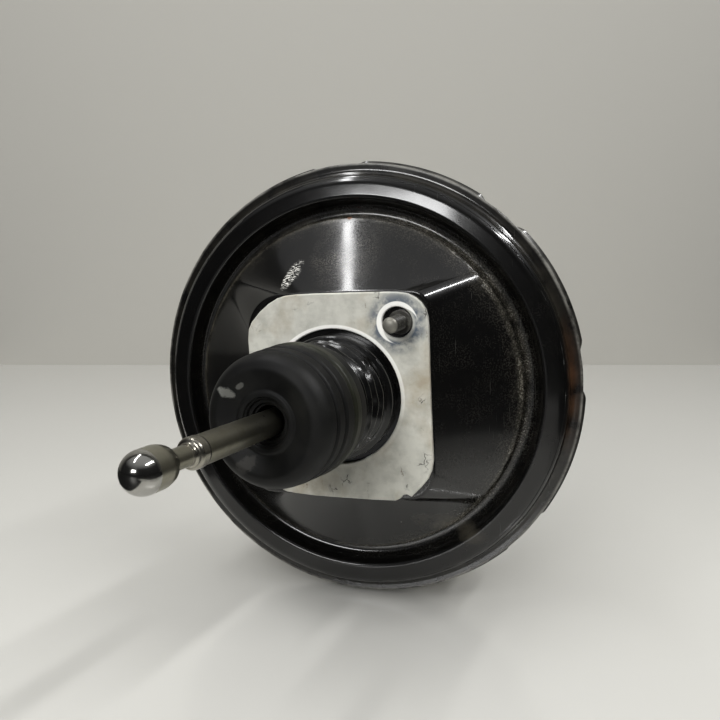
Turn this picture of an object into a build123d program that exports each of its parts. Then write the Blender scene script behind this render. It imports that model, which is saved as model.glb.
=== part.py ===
from build123d import *
import os
from math import atan2, cos, radians, sin, tan

# Vacuum brake booster with one diaphragm, in millimetres.
# The axis of the booster runs along Y: the pedal is towards -Y, the master cylinder towards +Y,
# and +Z is up. Depths below are measured from the steel pad. Each piece is moved forward by the
# gasket's thickness when it is written, so that the origin is the centre of the mounting face.

# Pressed shells
sheet = 1.6                    # steel thickness of both shells
pad_half_width = 54.0          # flat mounting pad, half its size along X
pad_half_height = 57.0         # and along Z
pad_corner = 16.0              # corner radius of the pad
dome_depth = 29.0              # how far the sloping dome falls from the pad to its round foot
dome_foot_radius = 95.0
ridge_angle = 16.0             # arc of the foot that each corner of the pad runs out to
trough_depth = 8.5             # round trough beyond the foot
trough_width = 6.5
bead_slope = 4.0               # radial run of the bead's inner side
bead_width = 12.5              # from its inner shoulder to its outer edge
bead_drop = 1.2                # the edge of the bead lies this far below the dome foot
bead_crown = 1.8               # how far the bead's inner shoulder stands above its edge
wall_depth = 7.8               # outer wall from the bead's edge to the flange
wall_slope = 0.9
flange_width = 6.1
trough_bend = 2.5
shoulder_bend = 4.0
edge_bend = 1.8

# Neck of the rear shell, which goes through the bulkhead
neck_radius = 30.5
neck_length = 12.0
neck_lip = 1.6                 # how far the end of the neck turns inwards

# Joint between the shells
rim_rubber = 3.4               # diaphragm edge clamped between the flanges
lug_count = 8
lug_reach = 2.5                # the lugs stand out beyond the rear flange by this much
lug_angle = 35.0
lug_ramp = 2.0                 # angle over which each end of a lug runs out
lug_skirt = 8.0                # the lugs turn forward by this much
lug_phase = 26.0               # middle of the first lug, from +X towards +Z
tab_angle = 5.0                # crimp tabs of the rear shell stand in the gaps between lugs
tab_fold = 2.2
tab_gap = 0.5

# Front shell
front_depth = 65.0             # from its flange to the master cylinder face
front_wall_depth = 38.0
front_wall_taper = 2.0
front_shoulder_width = 28.0    # sloping ring between the wall and the flat ring
front_step_set = 11.0          # the flat ring lies this far behind the master cylinder face
front_boss_foot_radius = 62.0
front_boss_radius = 54.0
front_bore_radius = 20.5
front_bore_length = 11.0
front_shoulder_bend = 10.0
front_bend = 5.0

# Fasteners
stud_x = 37.0                  # one mounting stud at (+x, +z), the other opposite
stud_z = 39.0
stud_radius = 4.0
stud_shoulder_radius = 6.2
stud_reach = 24.0
stud_head_radius = 8.5
stud_head_height = 3.0
stud_clearance = 0.05
front_stud_spacing = 84.0
front_stud_reach = 22.0
stud_tip = 1.2                 # blunt taper at the end of each stud
plate_thickness = 2.5          # stiffener plates inside the shells
rear_plate_inset = 6.0
plate_hole_radius = 33.0
front_plate_radius = 49.5
front_plate_clearance = 0.9

# Gasket
gasket_thickness = 3.0
gasket_left = 48.4
gasket_right = 52.0
gasket_top = 54.5
gasket_bottom = 55.0
gasket_hole_radius = 36.0
gasket_stud_radius = 7.6
gasket_corner = 15.0
gasket_chamfer = 14.0

# Valve body, the hub of the power piston
hub_neck_radius = 22.0
hub_neck_reach = 50.0          # its open end stands this far out of the mounting face
hub_flange_radius = 36.0
hub_flange_y = 17.8
hub_flange_thickness = 8.2
hub_boss_radius = 21.0
hub_boss_length = 12.0
boss_chamfer = 0.6
filter_bore_radius = 19.0
filter_bore_depth = 20.0
valve_bore_radius = 16.0
valve_bore_depth = 4.5
poppet_bore_radius = 14.4
vacuum_seat_y = -8.0
vacuum_seat_radius = 11.2
vacuum_seat_width = 1.0
vacuum_seat_height = 2.0
passage_width = 8.0
passage_inner = 13.4
passage_height = 5.2

# Seal between the neck and the valve body
running_gap = 0.06
seal_length = 8.6
retainer_flange = 1.4
retainer_gap = 0.6

# Plunger, stop key and rod
pivot_y = -12.0                # centre of the ball joint between rod and plunger
plunger_radius = 6.5
plunger_gap = 0.05
plunger_seat_radius = 9.4
plunger_seat_y = -10.6
plunger_head = 3.2
socket_radius = 7.6
socket_length = 6.0
socket_gap = 0.05
plunger_groove_radius = 4.2
plunger_travel = 1.5
plunger_tip_gap = 1.8          # to the reaction disc, more than its travel
key_thickness = 2.5
key_width = 14.0
key_reach = 30.0
key_gap = 0.3
rod_ball_radius = 5.0
rod_neck_radius = 3.4
rod_inner_radius = 5.0
rod_radius = 6.0
rod_neck_length = 8.0
rod_seat_distance = 30.0       # ball joint to the shoulder that carries the spring seat
rod_length = 144.6             # ball joint to the centre of the pedal ball
rod_lean = 5.4                 # the rod rests leaning sideways by this angle
lean_heading = 170.0           # direction of the lean, from +X towards +Z
socket_cone = 16.0             # half angle of the socket's mouth
pedal_ball_radius = 8.0
pedal_band = 8.0
pedal_shoulder = 6.0
pedal_neck_radius = 4.0
pedal_neck_length = 8.5
collar_radius = 6.3
collar_length = 7.5
rod_seat_radius = 10.6
rod_seat_thickness = 1.4

# Poppet valve and its springs
poppet_face_thickness = 2.0
poppet_face_radius = 12.8
poppet_hole_radius = 8.1
poppet_skin = 1.3
poppet_flange_thickness = 2.0
poppet_gap = 0.3
poppet_retainer_thickness = 1.2
poppet_retainer_hole = 8.0
poppet_spring_radius = 10.4
poppet_wire = 0.45
poppet_turns = 4
rod_spring_radius = 9.6
rod_spring_wire = 0.7
rod_spring_turns = 3
filter_inner_radius = 14.2
filter_length = 10.0
silencer_length = 6.0
part_gap = 0.3                 # between loose inner pieces

# Diaphragm and its plate
plate_sheet = 1.2
skin = 1.6                     # rubber thickness
plate_flat_radius = 45.0
plate_rim_width = 12.0
plate_cone_rise = 25.2
plate_rim_length = 10.0
plate_bend = 3.0
roll_width = 16.4              # room for the rolling fold between the plate's rim and the wall
roll_clearance = 0.4
roll_depth = 16.0              # depth of the rolling fold in front of the plate's rim
diaphragm_bead = 3.6

# Output side
reaction_radius = 10.9
reaction_thickness = 4.0
output_head_radius = 10.8
output_head_thickness = 3.5
output_recess_radius = 11.1
output_rod_radius = 5.0
output_tip_set = 12.0          # the tip lies this far behind the master cylinder face
output_screw_radius = 2.9
output_screw_depth = 10.0
output_screw_head = 8.0
output_screw_head_length = 3.0
output_tip_radius = 3.5
output_tip_length = 3.0
clip_sheet = 1.2
clip_gap = 0.3
clip_hole_radius = 6.0
clip_wrap = 6.0
return_spring_radius = 29.0
return_spring_wire = 1.9
return_spring_turns = 5.5

# Dust boot
boot_base_radius = 33.0
boot_fold_radius = 31.0
boot_fold_depth = 3.0
boot_fold_pitch = 5.6
boot_folds = 4
boot_skin = 2.0
boot_cup_radius = 31.0
boot_reach = 78.5              # the front lip stands this far out of the mounting face
boot_cup_edge = 7.0
boot_hole_radius = 10.5
boot_core_radius = 4.0          # opening before the hole is cut to one side
boot_hole_x = -5.0             # the lip is drawn aside by the leaning rod
boot_hole_z = 1.0
boot_grip_length = 4.0
boot_grip_gap = 0.3

# Check valve on the front shell
check_angle = 130.0            # from +X towards +Z, seen from the pedal side
check_stem_radius = 6.0
check_hole_radius = 8.0
grommet_radius = 10.8
grommet_lip = 2.5
check_flange_radius = 9.8
check_flange_thickness = 2.5
check_chamber_radius = 9.0
check_chamber_height = 13.5
check_wall = 2.0
check_bore_radius = 3.6
nozzle_radius = 5.5
nozzle_bore_radius = 3.4
nozzle_length = 34.0
nozzle_chamfer = 1.0
nozzle_root_radius = 6.5
nozzle_root_length = 11.0
disc_thickness = 1.5
disc_radius = 6.0
disc_gap = 0.1
check_spring_radius = 4.0
check_spring_wire = 0.35
check_spring_turns = 3

# Places that follow from the sizes above
bead_radius = dome_foot_radius + trough_width + bead_slope + bead_width
flange_radius = bead_radius + wall_slope + flange_width
lug_radius = flange_radius + lug_reach
front_wall_radius = bead_radius
front_step_radius = front_wall_radius - front_wall_taper - front_shoulder_width
check_ring_radius = (front_step_radius + front_boss_foot_radius) / 2
plate_rim_radius = front_wall_radius - front_wall_taper - sheet - roll_width
plate_cone_radius = plate_rim_radius - plate_rim_width
flange_y = dome_depth + bead_drop + wall_depth
front_flange_y = flange_y + sheet + rim_rubber
front_y = front_flange_y + front_depth
step_y = front_y - front_step_set
neck_bore_radius = neck_radius - sheet
hub_flange_front = hub_flange_y + hub_flange_thickness
hub_front = hub_flange_front + hub_boss_length
recess_floor = hub_front - reaction_thickness - output_head_thickness
plunger_tip_y = recess_floor - plunger_tip_gap
filter_floor = filter_bore_depth - hub_neck_reach
valve_floor = filter_floor + valve_bore_depth
retainer_front = sheet + retainer_flange
key_y = retainer_front + key_gap
output_screw_y = front_y - output_tip_set - output_tip_length - output_screw_head_length


# Helpers

def along_y(radius, start, end):
    # Plain round bar on the axis from one depth to another.
    return turned([(0, start), (radius, start), (radius, end), (0, end)])


def tube(outer, inner, start, end):
    return turned([(inner, start), (outer, start), (outer, end), (inner, end)])


def turned(points):
    # Solid of revolution about the Y axis from (radius, depth) points.
    outline = Polyline(*points, close=True)
    return revolve(make_face(outline), Axis.Y)


def pressed(points, bends, thickness, side, arc=360.0):
    # Sheet turned about the axis: the points are one face of the sheet, bent by the given radii.
    line = FilletPolyline(*points, radius=bends)
    section = make_face(offset(line, amount=thickness, side=side, closed=True))
    return revolve(section, Axis.Y, revolution_arc=arc)


def coil(mean_radius, wire, start, end, turns):
    # Helical spring on the axis between two seats.
    rise = end - start - 2 * (wire + part_gap)
    path = Helix(
        pitch=rise / turns, height=rise, radius=mean_radius,
        center=(0, start + wire + part_gap, 0), direction=(0, 1, 0),
    )
    section = Plane(origin=path @ 0, z_dir=path % 0) * Circle(wire)
    return sweep(section, path=path, is_frenet=True)


def round_corner_outline(half_width, half_height, corner, depth, spread, radius):
    # Closed outline in eight pieces at one depth. With no spread it is a rectangle with round
    # corners; with a spread it is a circle whose four short arcs answer to those corners.
    pieces = []
    ends = []
    for quarter in range(4):
        middle = 45 + 90 * quarter
        if spread:
            centre = Vector(0, depth, 0)
            size = radius
            turn = spread / 2
        else:
            side_x = 1 if quarter in (0, 3) else -1
            side_z = 1 if quarter in (0, 1) else -1
            centre = Vector(side_x * (half_width - corner), depth, side_z * (half_height - corner))
            size = corner
            turn = 45
        three = [point_at(centre, size, middle + step * turn) for step in (-1, 0, 1)]
        pieces.append(ThreePointArc(*three))
        ends.append((three[0], three[2]))
    for quarter in range(4):
        start = ends[quarter][1]
        finish = ends[(quarter + 1) % 4][0]
        if spread:
            halfway = point_at(Vector(0, depth, 0), radius, 90 * (quarter + 1))
            pieces.append(ThreePointArc(start, halfway, finish))
        else:
            pieces.append(Line(start, finish))
    return Wire(pieces)


def point_at(centre, radius, angle):
    # Point at an angle round the Y direction, from +X towards +Z.
    turn = radians(angle)
    return centre + Vector(radius * cos(turn), 0, radius * sin(turn))


def turned_by(angle):
    # Rotation about the axis that carries +X towards +Z by the angle.
    return Rot(0, -angle, 0)


def opposite_pair(x, z):
    return [Pos(x, 0, z), Pos(-x, 0, -z)]


# Shells

def dome(half_width, half_height, corner, top, foot_radius):
    # Square pad that falls to a round foot in one ruled surface, with a ridge at each corner.
    outline = round_corner_outline(half_width, half_height, corner, top, 0, 0)
    foot = round_corner_outline(0, 0, 0, dome_depth, ridge_angle, foot_radius)
    return Solid.make_loft([outline, foot], ruled=True)


def rear_rim():
    # Trough, raised bead, outer wall and flange, as one bent sheet.
    trough_y = dome_depth + trough_depth
    bead_foot = dome_foot_radius + trough_width
    points = [
        (dome_foot_radius, dome_depth),
        (dome_foot_radius, trough_y),
        (bead_foot, trough_y),
        (bead_foot + bead_slope, dome_depth + bead_drop - bead_crown),
        (bead_radius, dome_depth + bead_drop),
        (bead_radius + wall_slope, flange_y),
        (flange_radius, flange_y),
    ]
    bends = [trough_bend, trough_bend, shoulder_bend, edge_bend, trough_bend]
    return pressed(points, bends, sheet, Side.LEFT)


def crimp_tab():
    # Tab that goes forward past the front flange and folds in behind it.
    fold_y = front_flange_y + sheet + clip_gap
    points = [
        (flange_radius, flange_y),
        (flange_radius, fold_y + sheet),
        (flange_radius - sheet - tab_fold, fold_y + sheet),
    ]
    tab = pressed(points, [edge_bend], sheet, Side.LEFT, tab_angle)
    return turned_by(tab_angle / 2) * tab


def rear_shell():
    slope = atan2(dome_depth, dome_foot_radius - pad_half_width)
    inset = sheet * tan(slope / 2)
    outer = dome(pad_half_width, pad_half_height, pad_corner, 0, dome_foot_radius)
    inner = dome(
        pad_half_width - inset, pad_half_height - inset, pad_corner - inset,
        sheet, dome_foot_radius - sheet / sin(slope),
    )
    shell = outer - inner + rear_rim()
    neck = tube(neck_radius, neck_bore_radius, -neck_length, sheet)
    lip = tube(neck_radius, neck_bore_radius - neck_lip, -neck_length, sheet - neck_length)
    shell = shell - along_y(neck_bore_radius, -1, sheet + 1) + neck + lip
    hole = along_y(stud_shoulder_radius + stud_clearance, -1, sheet + 1)
    for place in opposite_pair(stud_x, stud_z):
        shell -= place * hole
    gap_middle = lug_phase + 180 / lug_count
    for place in range(lug_count):
        shell += turned_by(gap_middle + place * 360 / lug_count) * crimp_tab()
    return shell


def front_lug():
    # Flat lug on the front flange, turned forward at its edge, with sloping ends.
    half = lug_angle / 2
    root = flange_radius - sheet - tab_gap - 1
    centre = Vector(0, 0, 0)
    far = [point_at(centre, lug_radius, angle) for angle in (half, 0, -half)]
    near = [point_at(centre, root, angle) for angle in (-half - lug_ramp, 0, half + lug_ramp)]
    outline = [
        ThreePointArc(*far), Line(far[2], near[0]), ThreePointArc(*near), Line(near[2], far[0]),
    ]
    plate = extrude(make_face(Wire(outline)), amount=sheet, dir=(0, 1, 0))
    skirt = tube_arc(lug_radius, lug_radius - sheet, 0, lug_skirt, lug_angle)
    return Pos(0, front_flange_y, 0) * (plate + skirt)


def tube_arc(outer, inner, start, end, angle):
    section = Polyline((inner, start), (outer, start), (outer, end), (inner, end), close=True)
    return turned_by(angle / 2) * revolve(make_face(section), Axis.Y, revolution_arc=angle)


def front_shell():
    flange_edge = flange_radius - sheet - tab_gap
    wall_y = front_flange_y + front_wall_depth
    face_y = front_flange_y + sheet
    points = [
        (flange_edge, face_y),
        (front_wall_radius, face_y),
        (front_wall_radius - front_wall_taper, wall_y),
        (front_step_radius, step_y),
        (front_boss_foot_radius, step_y),
        (front_boss_radius, front_y),
        (front_bore_radius, front_y),
        (front_bore_radius, front_y - front_bore_length),
    ]
    bends = [trough_bend, front_shoulder_bend, front_bend, front_bend, front_bend, trough_bend]
    shell = pressed(points, bends, sheet, Side.RIGHT)
    for place in range(lug_count):
        shell += turned_by(lug_phase + place * 360 / lug_count) * front_lug()
    hole = along_y(stud_radius + 1 + stud_clearance, front_y - sheet - 1, front_y + 1)
    for side in (-1, 1):
        shell -= Pos(side * front_stud_spacing / 2, 0, 0) * hole
    shell -= check_place() * along_y(check_hole_radius, step_y - sheet - 1, step_y + 1)
    return shell


# Stiffener plates, studs and gasket

def rear_stud_plate():
    half_width = pad_half_width - rear_plate_inset
    half_height = pad_half_height - rear_plate_inset
    outline = round_corner_outline(half_width, half_height, pad_corner - rear_plate_inset / 2, sheet, 0, 0)
    plate = extrude(make_face(outline), amount=plate_thickness, dir=(0, 1, 0))
    plate -= along_y(plate_hole_radius, 0, sheet + plate_thickness + 1)
    hole = along_y(stud_shoulder_radius + stud_clearance, 0, sheet + plate_thickness + 1)
    for place in opposite_pair(stud_x, stud_z):
        plate -= place * hole
    return plate


def mounting_stud():
    # Head inside the shell, a shoulder through plate and pad, and the threaded end.
    under_head = sheet + plate_thickness
    return turned([
        (0, -stud_reach),
        (stud_radius - stud_tip, -stud_reach),
        (stud_radius, stud_tip - stud_reach),
        (stud_radius, -gasket_thickness),
        (stud_shoulder_radius, -gasket_thickness),
        (stud_shoulder_radius, under_head),
        (stud_head_radius, under_head),
        (stud_head_radius, under_head + stud_head_height),
        (0, under_head + stud_head_height),
    ])


def mounting_studs():
    return [place * mounting_stud() for place in opposite_pair(stud_x, stud_z)]


def front_stud_plate():
    inside = front_y - sheet
    inner = front_bore_radius + sheet + front_plate_clearance
    plate = tube(front_plate_radius, inner, inside - plate_thickness, inside)
    hole = along_y(stud_radius + 1 + stud_clearance, inside - plate_thickness - 1, inside + 1)
    for side in (-1, 1):
        plate -= Pos(side * front_stud_spacing / 2, 0, 0) * hole
    return plate


def master_cylinder_studs():
    under_head = front_y - sheet - plate_thickness
    tip = front_y + front_stud_reach
    head_radius = front_plate_radius - front_stud_spacing / 2
    stud = turned([
        (0, under_head - stud_head_height),
        (head_radius, under_head - stud_head_height),
        (head_radius, under_head),
        (stud_radius + 1, under_head),
        (stud_radius + 1, front_y),
        (stud_radius, front_y),
        (stud_radius, tip - stud_tip),
        (stud_radius - stud_tip, tip),
        (0, tip),
    ])
    return [Pos(side * front_stud_spacing / 2, 0, 0) * stud for side in (-1, 1)]


def gasket():
    # Sheet gasket on the pad: cut corner at the top left and bottom right, round elsewhere.
    corners = [
        (gasket_right, gasket_top), (-gasket_left, gasket_top),
        (-gasket_left, -gasket_bottom), (gasket_right, -gasket_bottom),
    ]
    outline = Polyline(*[(x, 0, z) for x, z in corners], close=True)
    sheet_body = extrude(make_face(outline), amount=gasket_thickness, dir=(0, -1, 0))
    uprights = sheet_body.edges().filter_by(Axis.Y)
    top_right = uprights.sort_by(Axis.X)[-2:].sort_by(Axis.Z)[-1]
    bottom_left = uprights.sort_by(Axis.X)[:2].sort_by(Axis.Z)[0]
    cut = [edge for edge in uprights if edge not in (top_right, bottom_left)]
    sheet_body = chamfer(cut, gasket_chamfer)
    rounded = [edge for edge in sheet_body.edges().filter_by(Axis.Y) if is_corner(edge)]
    sheet_body = fillet(rounded, gasket_corner)
    sheet_body -= along_y(gasket_hole_radius, -gasket_thickness - 1, 1)
    for place in opposite_pair(stud_x, stud_z):
        sheet_body -= place * along_y(gasket_stud_radius, -gasket_thickness - 1, 1)
    return sheet_body


def is_corner(edge):
    # True for the two upright edges that are still at a full corner of the gasket.
    spot = edge.center()
    at_right_top = spot.X > gasket_right - 1 and spot.Z > gasket_top - 1
    at_left_bottom = spot.X < 1 - gasket_left and spot.Z < 1 - gasket_bottom
    return at_right_top or at_left_bottom


# Seal in the neck

def rear_seal():
    # Rubber lip seal: a ring in the neck, relieved behind its lip.
    start = sheet - neck_length
    end = start + seal_length
    bore = hub_neck_radius + running_gap
    outer = neck_bore_radius
    return turned([
        (bore, start), (outer, start), (outer, end), (outer - sheet, end),
        (outer - sheet, start + 2 * sheet), (bore + sheet, start + 2 * sheet),
        (bore + sheet, end), (bore, end),
    ])


def seal_retainer():
    start = sheet - neck_length + seal_length
    flange = neck_bore_radius + sheet
    return turned([
        (hub_neck_radius + retainer_gap, start), (neck_bore_radius, start),
        (neck_bore_radius, sheet), (flange, sheet), (flange, retainer_front),
        (hub_neck_radius + retainer_gap, retainer_front),
    ])


# Diaphragm and plate

def plate_line():
    # Rear face of the plate, from the hub out to the rim.
    cone_y = hub_flange_y - plate_sheet + plate_cone_rise
    return [
        (hub_neck_radius + part_gap, hub_flange_y - plate_sheet),
        (plate_flat_radius, hub_flange_y - plate_sheet),
        (plate_cone_radius, cone_y),
        (plate_rim_radius, cone_y),
        (plate_rim_radius, cone_y + plate_rim_length),
    ]


def diaphragm_plate():
    points = plate_line()
    return pressed(points, [plate_bend] * 3, plate_sheet, Side.LEFT)


def diaphragm():
    # Rubber sheet behind the plate, a rolling fold round its rim, and a clamped edge.
    line = plate_line()[:4]
    rim_y = line[-1][1]
    fold_inner = plate_rim_radius + roll_clearance
    wall_inside = front_wall_radius - front_wall_taper - sheet
    fold_outer = wall_inside - roll_clearance
    fold_y = rim_y + roll_depth
    clamp_y = flange_y + sheet
    edge_radius = flange_radius - sheet - 2 * tab_gap
    points = line[:3] + [
        (fold_inner, rim_y),
        (fold_inner, fold_y),
        (fold_outer, fold_y),
        (fold_outer, clamp_y + skin),
        (front_wall_radius + sheet, clamp_y + skin),
    ]
    fold_bend = (fold_outer - fold_inner) / 2 - part_gap
    bends = [plate_bend, plate_bend, plate_bend, fold_bend, fold_bend, trough_bend]
    body = pressed(points, bends, skin, Side.RIGHT)
    body += tube(edge_radius, front_wall_radius + skin / 2, clamp_y, front_flange_y)
    inner_bead = hub_flange_y - plate_sheet - skin
    bead_reach = hub_neck_radius + part_gap
    body += tube(bead_reach + diaphragm_bead, bead_reach, inner_bead - diaphragm_bead / 2, inner_bead)
    return body


# Valve body and what it holds

def valve_body():
    # Moulded hub: a long neck that slides in the seal, a flange for the plate, a front boss.
    head_bore = plunger_seat_radius + part_gap * 2
    head_floor = plunger_seat_y + plunger_head + plunger_travel + part_gap
    plunger_bore = plunger_radius + plunger_gap
    body = turned([
        (filter_bore_radius, -hub_neck_reach),
        (hub_neck_radius, -hub_neck_reach),
        (hub_neck_radius, hub_flange_y),
        (hub_flange_radius, hub_flange_y),
        (hub_flange_radius, hub_flange_front),
        (hub_boss_radius, hub_flange_front),
        (hub_boss_radius, hub_front - boss_chamfer),
        (hub_boss_radius - boss_chamfer, hub_front),
        (output_recess_radius, hub_front),
        (output_recess_radius, recess_floor),
        (plunger_bore, recess_floor),
        (plunger_bore, head_floor),
        (head_bore, head_floor),
        (head_bore, vacuum_seat_y),
        (vacuum_seat_radius, vacuum_seat_y),
        (vacuum_seat_radius, vacuum_seat_y - vacuum_seat_height),
        (vacuum_seat_radius + vacuum_seat_width, vacuum_seat_y - vacuum_seat_height),
        (vacuum_seat_radius + vacuum_seat_width, vacuum_seat_y),
        (poppet_bore_radius, vacuum_seat_y),
        (poppet_bore_radius, valve_floor),
        (valve_bore_radius, valve_floor),
        (valve_bore_radius, filter_floor),
        (filter_bore_radius, filter_floor),
    ])
    passage_start = vacuum_seat_y - vacuum_seat_height
    passage_length = hub_front - passage_start
    passage = Box(passage_height, passage_length, passage_width)
    for side in (-1, 1):
        middle = passage_inner + passage_height / 2
        body -= Pos(side * middle, passage_start + passage_length / 2, 0) * passage
    slot_length = key_thickness + plunger_travel + key_gap
    slot_height = hub_neck_radius + plunger_radius + 1
    slot = Box(key_width + 2 * key_gap, slot_length, slot_height)
    slot_z = plunger_radius + 1 - slot_height / 2
    body -= Pos(0, key_y + slot_length / 2 - key_gap / 2, slot_z) * slot
    return body


def valve_plunger():
    # Ball socket and valve seat at the rear, a groove for the key, a plain stem to the front.
    groove_start = key_y - key_gap - plunger_travel
    groove_end = key_y + key_thickness + key_gap
    socket_end = pivot_y - socket_length
    plunger = turned([
        (0, socket_end),
        (socket_radius, socket_end),
        (socket_radius, plunger_seat_y),
        (plunger_seat_radius, plunger_seat_y),
        (plunger_seat_radius, plunger_seat_y + plunger_head),
        (plunger_radius, plunger_seat_y + plunger_head),
        (plunger_radius, groove_start),
        (plunger_groove_radius, groove_start),
        (plunger_groove_radius, groove_end),
        (plunger_radius, groove_end),
        (plunger_radius, plunger_tip_y),
        (0, plunger_tip_y),
    ])
    mouth_radius = rod_neck_radius + (socket_length + 1) * tan(radians(socket_cone))
    mouth = turned([
        (0, pivot_y), (rod_neck_radius, pivot_y),
        (mouth_radius, socket_end - 1), (0, socket_end - 1),
    ])
    ball_space = Pos(0, pivot_y, 0) * Sphere(rod_ball_radius + socket_gap)
    return plunger - ball_space - mouth


def stop_key():
    # Flat fork through the slot of the valve body, which straddles the plunger's groove.
    arm_end = plunger_radius
    length = key_reach + arm_end
    key = Box(key_width, key_thickness, length)
    key = Pos(0, key_y + key_thickness / 2, arm_end - length / 2) * key
    fork = Box(2 * (plunger_groove_radius + key_gap), key_thickness + 2, 2 * arm_end)
    fork_floor = -plunger_groove_radius - key_gap
    return key - Pos(0, key_y + key_thickness / 2, fork_floor + arm_end) * fork


def leaning(shape):
    # Carries a piece built along -Y from the ball joint to where the rod leans at rest.
    turn = radians(lean_heading - 90)
    pivot = Axis((0, 0, 0), (cos(turn), 0, sin(turn)))
    return Pos(0, pivot_y, 0) * shape.rotate(pivot, -rod_lean)


def pushrod():
    # Inner ball, neck, shaft with a shoulder, collar, pedal neck and pedal ball, in one turning.
    neck_start = rod_neck_length + rod_ball_radius
    band_end = rod_length - pedal_band
    shoulder_end = band_end - pedal_shoulder
    collar_start = shoulder_end - pedal_neck_length
    collar_end = collar_start - collar_length
    shaft = turned([
        (0, 0),
        (rod_neck_radius, 0),
        (rod_neck_radius, -neck_start),
        (rod_inner_radius, -neck_start - 1),
        (rod_inner_radius, -rod_seat_distance),
        (rod_radius, -rod_seat_distance),
        (rod_radius, -collar_end),
        (collar_radius, -collar_end - 1),
        (collar_radius, 1.5 - collar_start),
        (collar_radius - 1.5, -collar_start),
        (pedal_neck_radius, -collar_start),
        (pedal_neck_radius, -shoulder_end),
        (0, -shoulder_end),
    ])
    head_line = [
        (0, -shoulder_end),
        (pedal_neck_radius, -shoulder_end),
        (pedal_ball_radius, -band_end),
        (pedal_ball_radius, -rod_length),
        (0, -rod_length),
    ]
    head = turned(head_line) + Pos(0, -rod_length, 0) * Sphere(pedal_ball_radius)
    return leaning(shaft + head + Sphere(rod_ball_radius))


def rod_spring_seat():
    bore = rod_inner_radius + plunger_gap
    return leaning(tube(rod_seat_radius, bore, -rod_seat_distance, rod_seat_thickness - rod_seat_distance))


def rod_spring():
    # Between the poppet retainer and the seat ring, in line with the leaning rod.
    retainer_rear = pivot_y - (filter_floor - poppet_retainer_thickness)
    tilt_room = (rod_spring_radius + 2 * rod_spring_wire) * sin(radians(rod_lean))
    start = rod_seat_thickness - rod_seat_distance
    end = -retainer_rear - tilt_room
    return leaning(coil(rod_spring_radius, rod_spring_wire, start, end, rod_spring_turns))


def poppet_valve():
    face_front = plunger_seat_y - poppet_gap
    face_rear = face_front - poppet_face_thickness
    inner = poppet_face_radius - poppet_skin
    flange = valve_bore_radius - plunger_gap
    return turned([
        (poppet_hole_radius, face_front),
        (poppet_face_radius, face_front),
        (poppet_face_radius, valve_floor),
        (flange, valve_floor),
        (flange, valve_floor - poppet_flange_thickness),
        (inner, valve_floor - poppet_flange_thickness),
        (inner, face_rear),
        (poppet_hole_radius, face_rear),
    ])


def poppet_retainer():
    # Cup that clamps the edge of the poppet and carries both valve springs.
    outer = valve_bore_radius - plunger_gap
    flange = filter_bore_radius - plunger_gap
    clamp_y = valve_floor - poppet_flange_thickness
    return turned([
        (poppet_retainer_hole, filter_floor - poppet_retainer_thickness),
        (flange, filter_floor - poppet_retainer_thickness),
        (flange, filter_floor),
        (outer, filter_floor),
        (outer, clamp_y),
        (outer - poppet_retainer_thickness, clamp_y),
        (outer - poppet_retainer_thickness, filter_floor),
        (poppet_retainer_hole, filter_floor),
    ])


def poppet_spring():
    face_rear = plunger_seat_y - poppet_gap - poppet_face_thickness
    return coil(poppet_spring_radius, poppet_wire, filter_floor, face_rear, poppet_turns)


def air_filter():
    end = filter_floor - poppet_retainer_thickness - part_gap
    return tube(filter_bore_radius - plunger_gap, filter_inner_radius, end - filter_length, end)


def silencer():
    end = filter_floor - poppet_retainer_thickness - 2 * part_gap - filter_length
    return tube(filter_bore_radius - plunger_gap, filter_inner_radius, end - silencer_length, end)


# Output side

def reaction_disc():
    return along_y(reaction_radius, recess_floor, recess_floor + reaction_thickness)


def output_rod():
    head_rear = recess_floor + reaction_thickness
    screw_hole = along_y(
        output_screw_radius + plunger_gap, output_screw_y - output_screw_depth, output_screw_y + 1,
    )
    rod = along_y(output_head_radius, head_rear, head_rear + output_head_thickness)
    rod += along_y(output_rod_radius, head_rear, output_screw_y)
    return rod - screw_hole


def output_rod_screw():
    # Adjusting screw: shank, hexagon and a domed tip that meets the master cylinder's piston.
    shank = along_y(output_screw_radius, output_screw_y - output_screw_depth + 1, output_screw_y)
    hexagon = RegularPolygon(output_screw_head / 2, 6, major_radius=False)
    head = extrude(Plane.XZ.offset(-output_screw_y) * hexagon, amount=-output_screw_head_length)
    top = output_screw_y + output_screw_head_length
    tip = along_y(output_tip_radius, top, top + output_tip_length)
    tip = fillet(tip.edges().sort_by(Axis.Y)[-1], output_tip_radius / 2)
    return shank + head + tip


def output_rod_retainer():
    # Pressed cap that snaps over the boss and keeps the output rod in its recess.
    outer = hub_boss_radius + plunger_gap
    points = [
        (clip_hole_radius, hub_front), (outer, hub_front), (outer, hub_front - clip_wrap),
    ]
    return pressed(points, [clip_gap], clip_sheet, Side.LEFT)


def return_spring():
    seat = front_y - sheet - plate_thickness
    return coil(return_spring_radius, return_spring_wire, hub_flange_front, seat, return_spring_turns)


# Dust boot

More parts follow.
